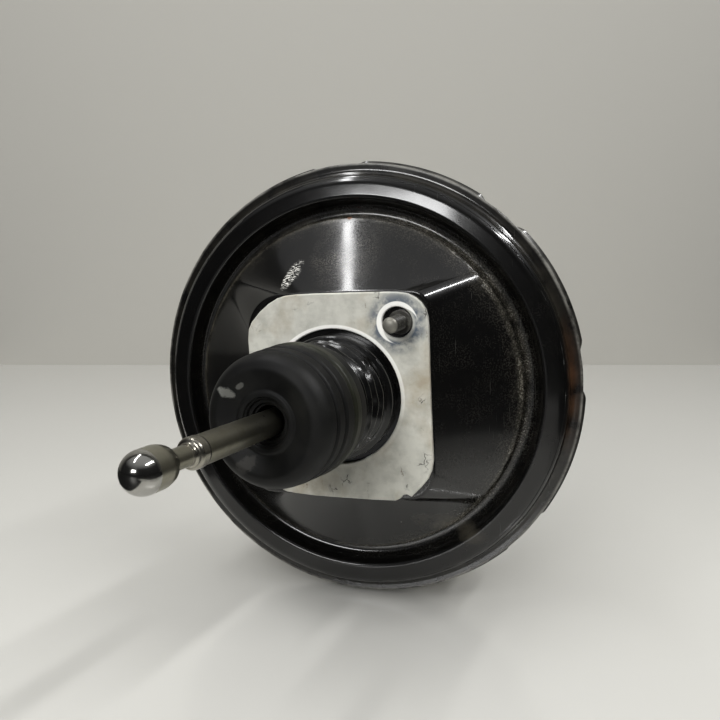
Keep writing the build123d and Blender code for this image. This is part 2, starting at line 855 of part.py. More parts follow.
def dust_boot():
    # Base ring on the neck, a row of folds, and a round-edged cup whose lip leaves room for the rod.
    base_end = -neck_length - boot_skin - part_gap
    valley = boot_fold_radius - boot_fold_depth
    folds = [(valley, base_end - boot_skin / 2)]
    for fold in range(boot_folds):
        start = folds[-1][1]
        folds.append((boot_fold_radius, start - boot_fold_pitch / 2))
        folds.append((valley, start - boot_fold_pitch))
    cup_start = folds[-1][1] - boot_fold_pitch / 2
    outside = [(boot_base_radius, -part_gap), (boot_base_radius, base_end)] + folds + [
        (boot_cup_radius, cup_start), (boot_cup_radius, -boot_reach), (boot_core_radius, -boot_reach),
    ]
    inside_radius = boot_cup_radius - boot_skin
    inside = [
        (boot_core_radius, boot_skin - boot_reach),
        (boot_cup_radius - boot_cup_edge, boot_skin - boot_reach),
        (inside_radius, boot_cup_edge - boot_reach),
        (inside_radius, cup_start),
    ]
    inside += [(radius - boot_skin, y) for radius, y in reversed(folds)]
    inside += [
        (valley - boot_skin, -neck_length - part_gap),
        (neck_radius + plunger_gap, -neck_length - part_gap),
        (neck_radius + plunger_gap, -part_gap),
    ]
    boot = turned(outside + inside)
    rims = boot.edges().filter_by(GeomType.CIRCLE).sort_by(Axis.Y)
    cup_edge = [rim for rim in rims[:3] if rim.radius > inside_radius]
    boot = fillet(cup_edge, boot_cup_edge)
    grip = tube(
        boot_cup_radius - boot_skin / 2, hub_neck_radius + boot_grip_gap,
        part_gap - hub_neck_reach, part_gap - hub_neck_reach + boot_grip_length,
    )
    hole = along_y(boot_hole_radius, -boot_reach - 1, boot_skin + 1 - boot_reach)
    return boot + grip - Pos(boot_hole_x, 0, boot_hole_z) * hole


# Check valve on the front shell

def check_place():
    return turned_by(check_angle) * Pos(check_ring_radius, 0, 0)


def check_valve_grommet():
    inside = step_y - sheet
    bore = check_stem_radius + plunger_gap
    outer = check_hole_radius - plunger_gap
    grommet = turned([
        (bore, inside - grommet_lip),
        (check_hole_radius + 1, inside - grommet_lip),
        (grommet_radius - 1, inside),
        (outer, inside),
        (outer, step_y),
        (grommet_radius, step_y),
        (grommet_radius, step_y + grommet_lip),
        (bore, step_y + grommet_lip),
    ])
    return check_place() * grommet


def check_seat_y():
    return step_y + grommet_lip + check_flange_thickness + check_wall


def check_valve_body():
    # Stem, flange, round chamber and a side nozzle for the vacuum hose.
    flange_rear = step_y + grommet_lip
    flange_front = flange_rear + check_flange_thickness
    top = flange_front + check_chamber_height
    stem_end = step_y - sheet - grommet_lip - check_wall
    body = along_y(check_stem_radius, stem_end, flange_rear)
    body += along_y(check_flange_radius, flange_rear, flange_front)
    body += along_y(check_chamber_radius, flange_front, top)
    nozzle_y = top - nozzle_root_radius
    body += Pos(0, nozzle_y, 0) * nozzle_bar()
    body -= along_y(check_bore_radius, stem_end - 1, check_seat_y())
    body -= along_y(check_chamber_radius - check_wall, check_seat_y(), top - check_wall)
    body -= Pos(0, nozzle_y, 0) * Rot(0, 0, -90) * along_y(nozzle_bore_radius, 0, nozzle_length + 1)
    return check_place() * body


def nozzle_bar():
    # Bar from the middle of the check valve out to the tip of its nozzle.
    bar = turned([
        (0, 0),
        (nozzle_root_radius, 0),
        (nozzle_root_radius, nozzle_root_length - nozzle_chamfer),
        (nozzle_radius, nozzle_root_length),
        (nozzle_radius, nozzle_length - nozzle_chamfer),
        (nozzle_radius - nozzle_chamfer, nozzle_length),
        (0, nozzle_length),
    ])
    return Rot(0, 0, -90) * bar


def check_valve_disc():
    seat = check_seat_y() + disc_gap
    return check_place() * along_y(disc_radius, seat, seat + disc_thickness)


def check_valve_spring():
    start = check_seat_y() + disc_gap + disc_thickness
    roof = step_y + grommet_lip + check_flange_thickness + check_chamber_height - check_wall
    return check_place() * coil(check_spring_radius, check_spring_wire, start, roof, check_spring_turns)


# Names and files

nodes = {
    "rear_shell": rear_shell(),
    "front_shell": front_shell(),
    "rear_stud_plate": rear_stud_plate(),
    "mounting_studs": mounting_studs(),
    "front_stud_plate": front_stud_plate(),
    "master_cylinder_studs": master_cylinder_studs(),
    "gasket": gasket(),
    "rear_seal": rear_seal(),
    "seal_retainer": seal_retainer(),
    "diaphragm_plate": diaphragm_plate(),
    "diaphragm": diaphragm(),
    "valve_body": valve_body(),
    "valve_plunger": valve_plunger(),
    "stop_key": stop_key(),
    "pushrod": pushrod(),
    "rod_spring_seat": rod_spring_seat(),
    "rod_spring": rod_spring(),
    "poppet_valve": poppet_valve(),
    "poppet_retainer": poppet_retainer(),
    "poppet_spring": poppet_spring(),
    "air_filter": air_filter(),
    "silencer": silencer(),
    "reaction_disc": reaction_disc(),
    "output_rod": output_rod(),
    "output_rod_screw": output_rod_screw(),
    "output_rod_retainer": output_rod_retainer(),
    "return_spring": return_spring(),
    "dust_boot": dust_boot(),
    "check_valve_grommet": check_valve_grommet(),
    "check_valve_body": check_valve_body(),
    "check_valve_disc": check_valve_disc(),
    "check_valve_spring": check_valve_spring(),
}

os.makedirs("parts", exist_ok=True)
for name, shape in nodes.items():
    solids = shape if isinstance(shape, list) else [shape]
    placed = [Pos(0, gasket_thickness, 0) * solid for solid in solids]
    export_step(Compound(children=placed), f"parts/{name}.step")
    print(name, round(sum(solid.volume for solid in placed)))
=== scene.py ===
import math

import bmesh
import bpy
from mathutils import Matrix, Vector, noise


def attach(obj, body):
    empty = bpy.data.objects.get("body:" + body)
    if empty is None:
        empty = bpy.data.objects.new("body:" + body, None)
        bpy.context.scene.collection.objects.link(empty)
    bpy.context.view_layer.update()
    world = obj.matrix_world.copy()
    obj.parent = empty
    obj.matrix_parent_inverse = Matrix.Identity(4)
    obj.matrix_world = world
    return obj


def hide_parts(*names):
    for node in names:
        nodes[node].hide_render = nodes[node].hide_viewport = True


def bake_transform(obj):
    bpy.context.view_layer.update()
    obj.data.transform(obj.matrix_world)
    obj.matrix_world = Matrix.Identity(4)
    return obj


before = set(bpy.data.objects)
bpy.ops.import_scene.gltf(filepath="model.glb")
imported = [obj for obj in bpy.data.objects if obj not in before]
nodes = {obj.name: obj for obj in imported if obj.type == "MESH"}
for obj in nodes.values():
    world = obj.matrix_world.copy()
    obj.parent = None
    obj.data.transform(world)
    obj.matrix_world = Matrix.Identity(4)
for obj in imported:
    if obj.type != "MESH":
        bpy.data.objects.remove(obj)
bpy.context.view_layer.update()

# Vacuum brake booster, seen from the pedal side. Lengths in the dictionaries are millimetres;
# everything in the scene is in metres. +Z is up, -Y points at the pedal, and the origin is the
# centre of the gasket's outer face.


# Small tools

def mm(value):
    return value / 1000


def hexColor(code):  # sRGB hex to the linear values that the sockets hold
    parts = [int(code[i:i + 2], 16) / 255 for i in (1, 3, 5)]
    linear = [c / 12.92 if c <= 0.04045 else ((c + 0.055) / 1.055) ** 2.4 for c in parts]
    return (*linear, 1)


def polar(radius, degrees, depth):  # a point round the booster's axis, in metres from millimetres
    turn = math.radians(degrees)
    return Vector((mm(radius) * math.cos(turn), mm(depth), mm(radius) * math.sin(turn)))


def softened(points, rounds, steps=5, hold=0.00035):
    # Rounds each inner corner of a line; each number in rounds is how far back along both runs
    # the curve starts. A held point beside each curve keeps the flats flat in smooth shading.
    line = [points[0]]
    for before, corner, after, back in zip(points, points[1:], points[2:], rounds):
        away = (before - corner).normalized()
        ahead = (after - corner).normalized()
        back = min(back, 0.44 * (before - corner).length, 0.44 * (after - corner).length)
        first = corner + away * back
        last = corner + ahead * back
        line.append(first + away * hold)
        for step in range(steps + 1):
            t = step / steps
            line.append(first * (1 - t) ** 2 + corner * 2 * t * (1 - t) + last * t ** 2)
        line.append(last + ahead * hold)
    line.append(points[-1])
    return line


def skin(name, columns, loopRound=True, loopLine=False, caps=False):
    # A mesh over columns of points that all have the same count
    count = len(columns[0])
    vertices = [tuple(point) for column in columns for point in column]
    faces = []
    for c in range(len(columns) if loopRound else len(columns) - 1):
        nextC = (c + 1) % len(columns)
        for r in range(count if loopLine else count - 1):
            nextR = (r + 1) % count
            faces.append((c * count + r, c * count + nextR, nextC * count + nextR, nextC * count + r))
    if caps:
        faces.append(tuple(range(count)))
        faces.append(tuple((len(columns) - 1) * count + r for r in reversed(range(count))))
    return finishMesh(name, vertices, faces)


def finishMesh(name, vertices, faces):
    mesh = bpy.data.meshes.new(name)
    mesh.from_pydata(vertices, [], faces)
    work = bmesh.new()
    work.from_mesh(mesh)
    bmesh.ops.remove_doubles(work, verts=work.verts, dist=1e-7)
    bmesh.ops.recalc_face_normals(work, faces=work.faces)
    for face in work.faces:
        face.smooth = True
    work.to_mesh(mesh)
    work.free()
    obj = bpy.data.objects.new(name, mesh)
    bpy.context.scene.collection.objects.link(obj)
    return obj


def roundLine(outline, back=0.3, steps=4):
    # (radius, depth) pairs in millimetres, with an optional third value for that corner's rounding
    points = [Vector((mm(p[0]), mm(p[1]), 0)) for p in outline]
    rounds = [mm(p[2] if len(p) > 2 else back) for p in outline[1:-1]]
    return softened(points, rounds, steps, hold=0.00015)


def turned(name, outline, segments=128, back=0.3, closed=False):
    # A turned piece about the booster's axis
    line = roundLine(outline, back)
    columns = []
    for s in range(segments):
        turn = 2 * math.pi * s / segments
        columns.append([(p.x * math.cos(turn), p.y, p.x * math.sin(turn)) for p in line])
    return skin(name, columns, loopLine=closed)


def joined(name, objects):
    # One object from several, with their materials
    work = bmesh.new()
    for obj in objects:
        obj.data.transform(obj.matrix_world)
        work.from_mesh(obj.data)
    mesh = bpy.data.meshes.new(name)
    work.to_mesh(mesh)
    work.free()
    for obj in objects:
        bpy.data.objects.remove(obj)
    obj = bpy.data.objects.new(name, mesh)
    bpy.context.scene.collection.objects.link(obj)
    return obj


def addNode(tree, kind, sockets=None, **settings):
    # A socket takes a value, a socket to link from, or a node, whose first output is linked
    node = tree.nodes.new(kind)
    for name, value in settings.items():
        if name == "stops":
            while len(node.color_ramp.elements) < len(value):
                node.color_ramp.elements.new(0.5)
            for element, (place, shade) in zip(node.color_ramp.elements, value):
                element.position = place
                element.color = shade if isinstance(shade, tuple) else (shade, shade, shade, 1)
        else:
            setattr(node, name, value)
    for name, value in (sockets or {}).items():
        if isinstance(value, bpy.types.Node):
            value = value.outputs[0]
        if isinstance(value, bpy.types.NodeSocket):
            tree.links.new(value, node.inputs[name])
        else:
            node.inputs[name].default_value = value
    return node


def newMaterial(name):
    material = bpy.data.materials.new(name)
    material.use_nodes = True
    tree = material.node_tree
    tree.nodes.clear()
    return material, tree, addNode(tree, "ShaderNodeTexCoord").outputs["Object"]


def surfaced(material, tree, sockets):
    shader = addNode(tree, "ShaderNodeBsdfPrincipled", sockets)
    addNode(tree, "ShaderNodeOutputMaterial", {"Surface": shader})
    return material


def paint(obj, material):
    obj.data.materials.clear()
    obj.data.materials.append(material)


# Materials

def spot(tree, place, centre, radii, turn=0):
    # 1 in the middle of an ellipsoid of these radii (mm), 0 at its edge, turned about the axis Y
    mapped = addNode(tree, "ShaderNodeMapping", {
        "Vector": place, "Location": [mm(v) for v in centre], "Rotation": (0, math.radians(turn), 0),
        "Scale": [mm(v) for v in radii],
    }, vector_type="TEXTURE")
    return addNode(tree, "ShaderNodeTexGradient", {0: mapped}, gradient_type="SPHERICAL").outputs["Fac"]


def together(tree, *marks):
    # Where several marks fall together
    result = marks[0]
    for mark in marks[1:]:
        result = addNode(tree, "ShaderNodeMath", {0: result, 1: mark}, operation="MULTIPLY")
    return result


def layered(tree, base, *layers):
    # Colours laid over one another: each layer is where it lies and a hex colour
    color = hexColor(base)
    for mark, code in layers:
        mixed = addNode(tree, "ShaderNodeMix", {0: mark, 6: color, 7: hexColor(code)}, data_type="RGBA")
        color = mixed.outputs[2]
    return color


def blackEnamel():
    # Black stoving enamel on pressed steel: a hard gloss that mirrors the room, with road dust caught
    # on the dome's foot and the rim, hair scratches, pin specks, one scraped white patch, and a painted highlight along
    # the flange's edge
    look = {
        "black": "#050505", "dust": "#6c6658", "grit": "#8d897e", "rust": "#5c3a22", "chalk": "#d9d7cf",
        "hair": "#3c3b38", "wearAndEdgeHighlight": "#7d7b74", "clouds": 13, "grain": 0.9, "fineGrain": 0.7, "scratch": 0.9,
        "smudge": 30, "ripple": 24, "hairWidth": 0.35, "speckSpacing": 11, "reach": 130,
        "scuff": ((-26, 17, 64.5), (4.6, 30, 10.5), 30), "rustDot": ((2, 33, 94.5), (1.6, 6, 1.6)),
        "dustPatch": ((3, 20, 72), (22, 40, 22)), "smear": ((55, 24, -78), (26, 30, 9), 22),
        "rimRust": ((119, 36, 2), (9, 40, 46)), "glossLow": 0.085, "glossHigh": 0.62,
    }
    material, tree, place = newMaterial("blackStovingEnamel")

    # Dust by the distance from the booster's axis, as a share of "reach"
    flat = addNode(tree, "ShaderNodeVectorMath", {0: place, 1: (1, 0, 1)}, operation="MULTIPLY")
    radius = addNode(tree, "ShaderNodeVectorMath", {0: flat}, operation="LENGTH").outputs["Value"]
    byRadius = addNode(tree, "ShaderNodeMapRange", {"Value": radius, "From Max": mm(look["reach"])})
    settled = addNode(tree, "ShaderNodeValToRGB", {0: byRadius}, stops=[
        (0.0, 0.03), (0.66, 0.04), (0.708, 0.2), (0.722, 1.0), (0.748, 0.8), (0.768, 0.1), (0.82, 0.02),
        (1.0, 0.02),
    ])
    rim = addNode(tree, "ShaderNodeValToRGB", {0: byRadius}, stops=[
        (0.90, 0.0), (0.915, 0.5), (0.935, 0.3), (0.96, 0.1),
    ])
    # Painted highlight: a thin light line along the flange's outer edge
    paintedFlangeHighlight = addNode(tree, "ShaderNodeValToRGB", {0: byRadius}, stops=[
        (0.951, 0.0), (0.956, 0.8), (0.962, 0.8), (0.966, 0.12),
    ])
    onDome = addNode(tree, "ShaderNodeValToRGB", {0: byRadius}, stops=[(0.66, 1.0), (0.70, 0.0)])
    side = addNode(tree, "ShaderNodeSeparateXYZ", {0: place}).outputs["X"]
    toRight = addNode(tree, "ShaderNodeMapRange", {
        "Value": side, "From Min": -0.03, "From Max": 0.06, "To Min": 0.3,
    })

    cloudy = addNode(tree, "ShaderNodeTexNoise", {
        "Vector": place, "Scale": 1000 / look["clouds"], "Detail": 6, "Roughness": 0.62,
    })
    clouds = addNode(tree, "ShaderNodeValToRGB", {0: cloudy}, stops=[(0.36, 0.1), (0.64, 1.0)])
    grainy = addNode(tree, "ShaderNodeTexNoise", {
        "Vector": place, "Scale": 1000 / look["grain"], "Detail": 2, "Roughness": 0.6,
    })
    grain = addNode(tree, "ShaderNodeValToRGB", {0: grainy}, stops=[(0.52, 0.0), (0.60, 1.0)])
    grit = together(tree, settled, toRight, clouds, grain, 0.6)
    dusty = addNode(tree, "ShaderNodeMath", {0: settled, 1: rim}, operation="MAXIMUM")
    film = together(tree, dusty, clouds, 0.2)
    smear = addNode(tree, "ShaderNodeValToRGB", {
        0: together(tree, spot(tree, place, *look["smear"]), clouds),
    }, stops=[(0.05, 0.0), (0.6, 0.28)])
    rimRust = together(tree, spot(tree, place, *look["rimRust"]), clouds, rim)
    wearAndEdgeHighlight = together(tree, paintedFlangeHighlight, clouds)

    # Long thin scratches, only on the dome's right side
    stretch = addNode(tree, "ShaderNodeMapping", {
        "Vector": place, "Rotation": (0.2, 0.9, 0.3), "Scale": (1000 / look["hairWidth"], 300, 22),
    })
    hairs = addNode(tree, "ShaderNodeTexNoise", {"Vector": stretch, "Scale": 1, "Detail": 1})
    hairLines = addNode(tree, "ShaderNodeValToRGB", {0: hairs}, stops=[(0.75, 0.0), (0.77, 1.0)])
    onRight = addNode(tree, "ShaderNodeValToRGB", {0: side}, stops=[(0.03, 0.0), (0.07, 1.0)])
    hair = together(tree, hairLines, onRight)

    # Specks: one point in some cells of a Voronoi pattern
    cells = addNode(tree, "ShaderNodeTexVoronoi", {"Vector": place, "Scale": 1000 / look["speckSpacing"]})
    dots = addNode(tree, "ShaderNodeValToRGB", {0: cells.outputs["Distance"]}, stops=[(0.03, 1.0), (0.045, 0.0)])
    kept = addNode(tree, "ShaderNodeValToRGB", {0: cells.outputs["Color"]}, stops=[(0.62, 0.0), (0.64, 1.0)])
    specks = together(tree, dots, kept, onDome)

    # The scraped patch: short slanting strokes inside a ragged spot
    slanted = addNode(tree, "ShaderNodeMapping", {
        "Vector": place, "Rotation": (0, 0.9, 0), "Scale": (0.45, 1, 1.5),
    })
    scrape = addNode(tree, "ShaderNodeTexNoise", {
        "Vector": slanted, "Scale": 1000 / look["scratch"], "Detail": 4, "Roughness": 0.7,
    })
    strokes = addNode(tree, "ShaderNodeValToRGB", {0: scrape}, stops=[(0.52, 0.0), (0.58, 1.0)])
    ragged = addNode(tree, "ShaderNodeValToRGB", {
        0: together(tree, spot(tree, place, *look["scuff"]), clouds),
    }, stops=[(0.04, 0.0), (0.22, 0.95)])
    scuff = together(tree, strokes, ragged)

    # Fine dust on the top of the dome, where the lamp's streak lies
    fine = addNode(tree, "ShaderNodeTexNoise", {
        "Vector": place, "Scale": 1000 / look["fineGrain"], "Detail": 2, "Roughness": 0.6,
    })
    fineGrain = addNode(tree, "ShaderNodeValToRGB", {0: fine}, stops=[(0.5, 0.0), (0.62, 0.5)])
    dusted = spot(tree, place, *look["dustPatch"])
    dustPatch = together(tree, dusted, fineGrain, clouds)
    rustDot = addNode(tree, "ShaderNodeValToRGB", {
        0: spot(tree, place, *look["rustDot"]),
    }, stops=[(0.05, 0.0), (0.3, 0.9)])

    # The light grey line along the flange's edge is a painted highlight, broken up by the clouds
    tint = layered(
        tree, look["black"], (film, look["dust"]), (smear, look["dust"]), (rimRust, look["rust"]),
        (grit, look["grit"]), (dustPatch, look["grit"]), (wearAndEdgeHighlight, look["wearAndEdgeHighlight"]), (hair, look["hair"]),
        (specks, look["chalk"]), (scuff, look["chalk"]), (rustDot, look["rust"]),
    )
    smudged = addNode(tree, "ShaderNodeTexNoise", {
        "Vector": place, "Scale": 1000 / look["smudge"], "Detail": 5, "Roughness": 0.6,
    })
    dulled = addNode(tree, "ShaderNodeValToRGB", {0: smudged}, stops=[(0.35, 0.0), (0.75, 0.16)])
    for mark in (film, smear, grit, scuff, rustDot, wearAndEdgeHighlight, together(tree, dusted, 0.14)):
        dulled = addNode(tree, "ShaderNodeMath", {0: dulled, 1: mark}, operation="MAXIMUM")
    gloss = addNode(tree, "ShaderNodeMapRange", {
        "Value": dulled, "To Min": look["glossLow"], "To Max": look["glossHigh"],
    })
    wavy = addNode(tree, "ShaderNodeTexNoise", {
        "Vector": place, "Scale": 1000 / look["ripple"], "Detail": 2, "Roughness": 0.5,
    })
    ripple = addNode(tree, "ShaderNodeBump", {"Strength": 0.04, "Distance": 0.002, "Height": wavy})
    raised = addNode(tree, "ShaderNodeBump", {
        "Strength": 0.35, "Distance": 0.0003, "Height": grit, "Normal": ripple,
    })
    return surfaced(material, tree, {
        "Base Color": tint, "Roughness": gloss, "Normal": raised, "IOR": 1.52, "Coat Weight": 0.25,
        "Coat Roughness": 0.28,
    })


def gasketSheet():
    # Coated fibre sheet, off-white with a silver cast: stained brown by rust water, rubbed blue-grey
    # round the stud, with a painted highlight on the cut edges of its holes, and with a few dark cracks
    look = {
        "sheet": "#c3c2b8", "grey": "#9d9c93", "stain": "#8b7a5b", "rubbed": "#47525f", "paintedHighlight": "#f0efe9",
        "flake": "#5a4a35", "crack": "#1d1a16", "stains": 30, "smears": 9, "rubs": 6, "crackCell": 7,
        "crackBend": 2.5, "holeRadius": 36, "rim": 2.4, "highlightFadeFrom": -12, "highlightFadeTo": 24,
        "stud": (35.2, 0, 38.8), "studReach": 20, "collar": (37.2, 0, 36.8), "crescent": (9.1, 9.6),
        "cracks": [(-20, 50, 5), (-11, 49, 4), (4, -45, 6), (47, 0, 4), (46, -17, 3), (48, -33, 8), (49, 43, 5),
                   (25, 53, 4), (-44, 39, 6), (40, -47, 5), (-3, -51, 5)],
    }
    material, tree, place = newMaterial("coatedFibreSheet")
    clouds = addNode(tree, "ShaderNodeTexNoise", {
        "Vector": place, "Scale": 1000 / look["stains"], "Detail": 8, "Roughness": 0.62,
    })
    stained = addNode(tree, "ShaderNodeValToRGB", {0: clouds}, stops=[(0.50, 0.0), (0.66, 0.5), (0.8, 0.8)])
    smears = addNode(tree, "ShaderNodeTexNoise", {
        "Vector": place, "Scale": 1000 / look["smears"], "Detail": 6, "Roughness": 0.6,
    })
    greyed = addNode(tree, "ShaderNodeValToRGB", {0: smears}, stops=[(0.42, 0.0), (0.70, 0.75)])

    # A painted highlight on the cut edge round the hole, strongest at the top, where the light falls on it
    flat = addNode(tree, "ShaderNodeVectorMath", {0: place, 1: (1, 0, 1)}, operation="MULTIPLY")
    radius = addNode(tree, "ShaderNodeVectorMath", {0: flat}, operation="LENGTH").outputs["Value"]
    hole, rim = mm(look["holeRadius"]), mm(look["rim"])
    height = addNode(tree, "ShaderNodeSeparateXYZ", {0: place}).outputs["Z"]
    byHole = addNode(tree, "ShaderNodeMapRange", {
        "Value": radius, "From Min": hole + rim, "From Max": hole + rim * 0.8, "To Max": 0.9,
    })
    # Painted highlight: the edge is made lighter towards the top
    highlightByHeight = addNode(tree, "ShaderNodeMapRange", {
        "Value": height, "From Min": mm(look["highlightFadeFrom"]), "From Max": mm(look["highlightFadeTo"]), "To Min": 0.15,
    })
    holeEdgeHighlight = together(tree, byHole, highlightByHeight)

    # Round the stud: a rubbed ring, and a painted highlight on the cut edge, as a crescent beside the collar
    fromStud = addNode(tree, "ShaderNodeVectorMath", {
        0: flat, 1: [mm(v) for v in look["stud"]],
    }, operation="DISTANCE").outputs["Value"]
    byStud = addNode(tree, "ShaderNodeMapRange", {"Value": fromStud, "From Max": mm(look["studReach"])})
    rubs = addNode(tree, "ShaderNodeTexNoise", {
        "Vector": place, "Scale": 1000 / look["rubs"], "Detail": 6, "Roughness": 0.65,
    })
    wearAndEdgeHighlight = together(
        tree,
        addNode(tree, "ShaderNodeValToRGB", {0: byStud}, stops=[(0.45, 0.3), (0.52, 1.0), (0.66, 0.75), (0.86, 0.0)]),
        addNode(tree, "ShaderNodeValToRGB", {0: rubs}, stops=[(0.38, 0.15), (0.56, 1.0)]),
    )
    fromCollar = addNode(tree, "ShaderNodeVectorMath", {
        0: flat, 1: [mm(v) for v in look["collar"]],
    }, operation="DISTANCE").outputs["Value"]
    crescentFrom, crescentTo = look["crescent"]
    # Painted highlight: a light crescent on the stud hole's cut edge beside the collar
    studHoleHighlight = together(
        tree, addNode(tree, "ShaderNodeValToRGB", {0: byStud}, stops=[(0.525, 1.0), (0.545, 0.0)]),
        addNode(tree, "ShaderNodeMapRange", {
            "Value": fromCollar, "From Min": mm(crescentFrom), "From Max": mm(crescentTo),
        }),
    )

    # Cracks: bent cell edges, kept only at the places listed; flakes: short drawn marks
    wander = addNode(tree, "ShaderNodeTexNoise", {
        "Vector": place, "Scale": 1000 / look["crackBend"], "Detail": 3,
    }).outputs["Color"]
    bent = addNode(tree, "ShaderNodeVectorMath", {
        0: wander, 1: (0.004, 0.004, 0.004), 2: place,
    }, operation="MULTIPLY_ADD")
    lines = addNode(tree, "ShaderNodeTexVoronoi", {
        "Vector": bent, "Scale": 1000 / look["crackCell"],
    }, feature="DISTANCE_TO_EDGE").outputs["Distance"]
    thin = addNode(tree, "ShaderNodeValToRGB", {0: lines}, stops=[(0.02, 1.0), (0.045, 0.0)])
    near = 0
    for x, z, size in look["cracks"]:
        here = spot(tree, place, (x, 0, z), (size, 20, size * 0.6), 40 * x)
        near = addNode(tree, "ShaderNodeMath", {0: near, 1: here}, operation="MAXIMUM")
    cracks = together(
        tree, thin, addNode(tree, "ShaderNodeValToRGB", {0: near}, stops=[(0.1, 0.0), (0.35, 1.0)]),
        addNode(tree, "ShaderNodeValToRGB", {0: greyed}, stops=[(0.1, 0.2), (0.5, 1.0)]),
    )
    drawn = addNode(tree, "ShaderNodeMapping", {
        "Vector": bent, "Rotation": (0, 1.2, 0), "Scale": (700, 700, 60),
    })
    drawnLines = addNode(tree, "ShaderNodeTexNoise", {"Vector": drawn, "Scale": 1, "Detail": 2})
    flakes = together(
        tree, addNode(tree, "ShaderNodeValToRGB", {0: drawnLines}, stops=[(0.66, 0.0), (0.70, 0.7)]),
        addNode(tree, "ShaderNodeValToRGB", {0: greyed}, stops=[(0.2, 0.0), (0.6, 1.0)]),
    )

    # The light colour on the holes' cut edges is a painted highlight, not the sheet's own colour
    tint = layered(
        tree, look["sheet"], (greyed, look["grey"]), (stained, look["stain"]), (wearAndEdgeHighlight, look["rubbed"]),
        (flakes, look["flake"]), (holeEdgeHighlight, look["paintedHighlight"]), (studHoleHighlight, look["paintedHighlight"]), (cracks, look["crack"]),
    )
    rough = addNode(tree, "ShaderNodeMapRange", {"Value": greyed, "To Min": 0.32, "To Max": 0.6})
    creased = addNode(tree, "ShaderNodeTexNoise", {
        "Vector": place, "Scale": 1000 / 18, "Detail": 4, "Roughness": 0.55,
    })
    creases = addNode(tree, "ShaderNodeBump", {"Strength": 0.25, "Distance": 0.0015, "Height": creased})
    return surfaced(material, tree, {"Base Color": tint, "Roughness": rough, "Normal": creases})


def dirtyThread():
    # Zinc-plated thread black with old grease, wiped bright at the blunt tip
    look = {"metal": "#8d8b82", "grease": "#16140f", "tipFrom": -19.4, "tipTo": -20.2, "patches": 3}
    material, tree, place = newMaterial("greasyZincThread")
    along = addNode(tree, "ShaderNodeSeparateXYZ", {0: place}).outputs["Y"]
    tip = addNode(tree, "ShaderNodeMapRange", {
        "Value": along, "From Min": mm(look["tipFrom"]), "From Max": mm(look["tipTo"]), "To Max": 0.85,
    })
    patchy = addNode(tree, "ShaderNodeTexNoise", {
        "Vector": place, "Scale": 1000 / look["patches"], "Detail": 5, "Roughness": 0.6,
    })
    patches = addNode(tree, "ShaderNodeValToRGB", {0: patchy}, stops=[(0.5, 0.05), (0.75, 0.5)])
    bright = addNode(tree, "ShaderNodeMath", {0: tip, 1: patches}, operation="MAXIMUM")
    return surfaced(material, tree, {
        "Base Color": layered(tree, look["grease"], (bright, look["metal"])),
        "Metallic": together(tree, bright, 0.7), "Roughness": 0.42,
    })


def mouldedRubber(name, look):
    # Moulded black rubber: half-matte with a faint sheen, chalky touch marks and a thin dust film
    material, tree, place = newMaterial(name)
    clouds = addNode(tree, "ShaderNodeTexNoise", {
        "Vector": place, "Scale": 1000 / 14, "Detail": 7, "Roughness": 0.62,
    })
    bloom = addNode(tree, "ShaderNodeValToRGB", {0: clouds}, stops=[(0.4, 0.0), (0.75, 1.0)])
    layers = [(bloom, look["bloom"])]
    for centre, radii, turn, code, reach in look.get("marks", []):
        broken = addNode(tree, "ShaderNodeTexNoise", {
            "Vector": place, "Scale": 1000 / 2.2, "Detail": 5, "Roughness": 0.7,
        })
        mark = addNode(tree, "ShaderNodeValToRGB", {
            0: together(tree, spot(tree, place, centre, radii, turn), broken),
        }, stops=[(reach, 0.0), (reach + 0.1, 0.75)])
        layers.append((mark, code))
    rough = addNode(tree, "ShaderNodeMapRange", {"Value": clouds, "To Min": look["low"], "To Max": look["high"]})
    porous = addNode(tree, "ShaderNodeTexNoise", {
        "Vector": place, "Scale": 1000 / 1.6, "Detail": 3, "Roughness": 0.5,
    })
    pores = addNode(tree, "ShaderNodeBump", {"Strength": 0.12, "Distance": 0.0004, "Height": porous})
    return surfaced(material, tree, {
        "Base Color": layered(tree, look["base"], *layers), "Roughness": rough, "Normal": pores,
        "Specular IOR Level": look["shine"],
    })


def cloudyFinish(name, look):
    # Two close shades in soft clouds with broken roughness. On zinc plate that is the satin of
    # handling and the olive cast of what passivation is left; on the inner pieces it is plain wear.
    material, tree, place = newMaterial(name)
    cloud = addNode(tree, "ShaderNodeTexNoise", {
        "Vector": place, "Scale": 1000 / look["size"], "Detail": 6, "Roughness": look.get("break", 0.5),
    })
    low, high = look["rough"]
    return surfaced(material, tree, {
        "Base Color": layered(tree, look["light"], (cloud, look["dark"])),
        "Roughness": addNode(tree, "ShaderNodeMapRange", {"Value": cloud, "To Min": low, "To Max": high}),
        "Metallic": look.get("metallic", 0),
    })


enamel = blackEnamel()
gasketFinish = gasketSheet()
threadMetal = dirtyThread()
bootRubber = mouldedRubber("mouldedBootRubber", {
    "base": "#090909", "bloom": "#161614", "low": 0.46, "high": 0.6, "shine": 0.26,
    "marks": [
        ((-24, -72, 15), (7, 14, 4), 20, "#6f6f6a", 0.16), ((-17, -73, 18), (4, 10, 2), -30, "#5c5c58", 0.18),
        ((-16, -73, -17), (12, 12, 6), -25, "#33322f", 0.2),
    ],
})
oliveRubber = mouldedRubber("oliveTintedRubber", {
    "base": "#171811", "bloom": "#2b2c1f", "low": 0.34, "high": 0.5, "shine": 0.35,
})
glossRubber = mouldedRubber("wetLookRubber", {
    "base": "#080808", "bloom": "#10100f", "low": 0.14, "high": 0.26, "shine": 0.5,
})
zinc = cloudyFinish("satinZincPlate", {
    "light": "#a7a498", "dark": "#7d7a68", "size": 7, "break": 0.6, "rough": (0.21, 0.42), "metallic": 1,
})
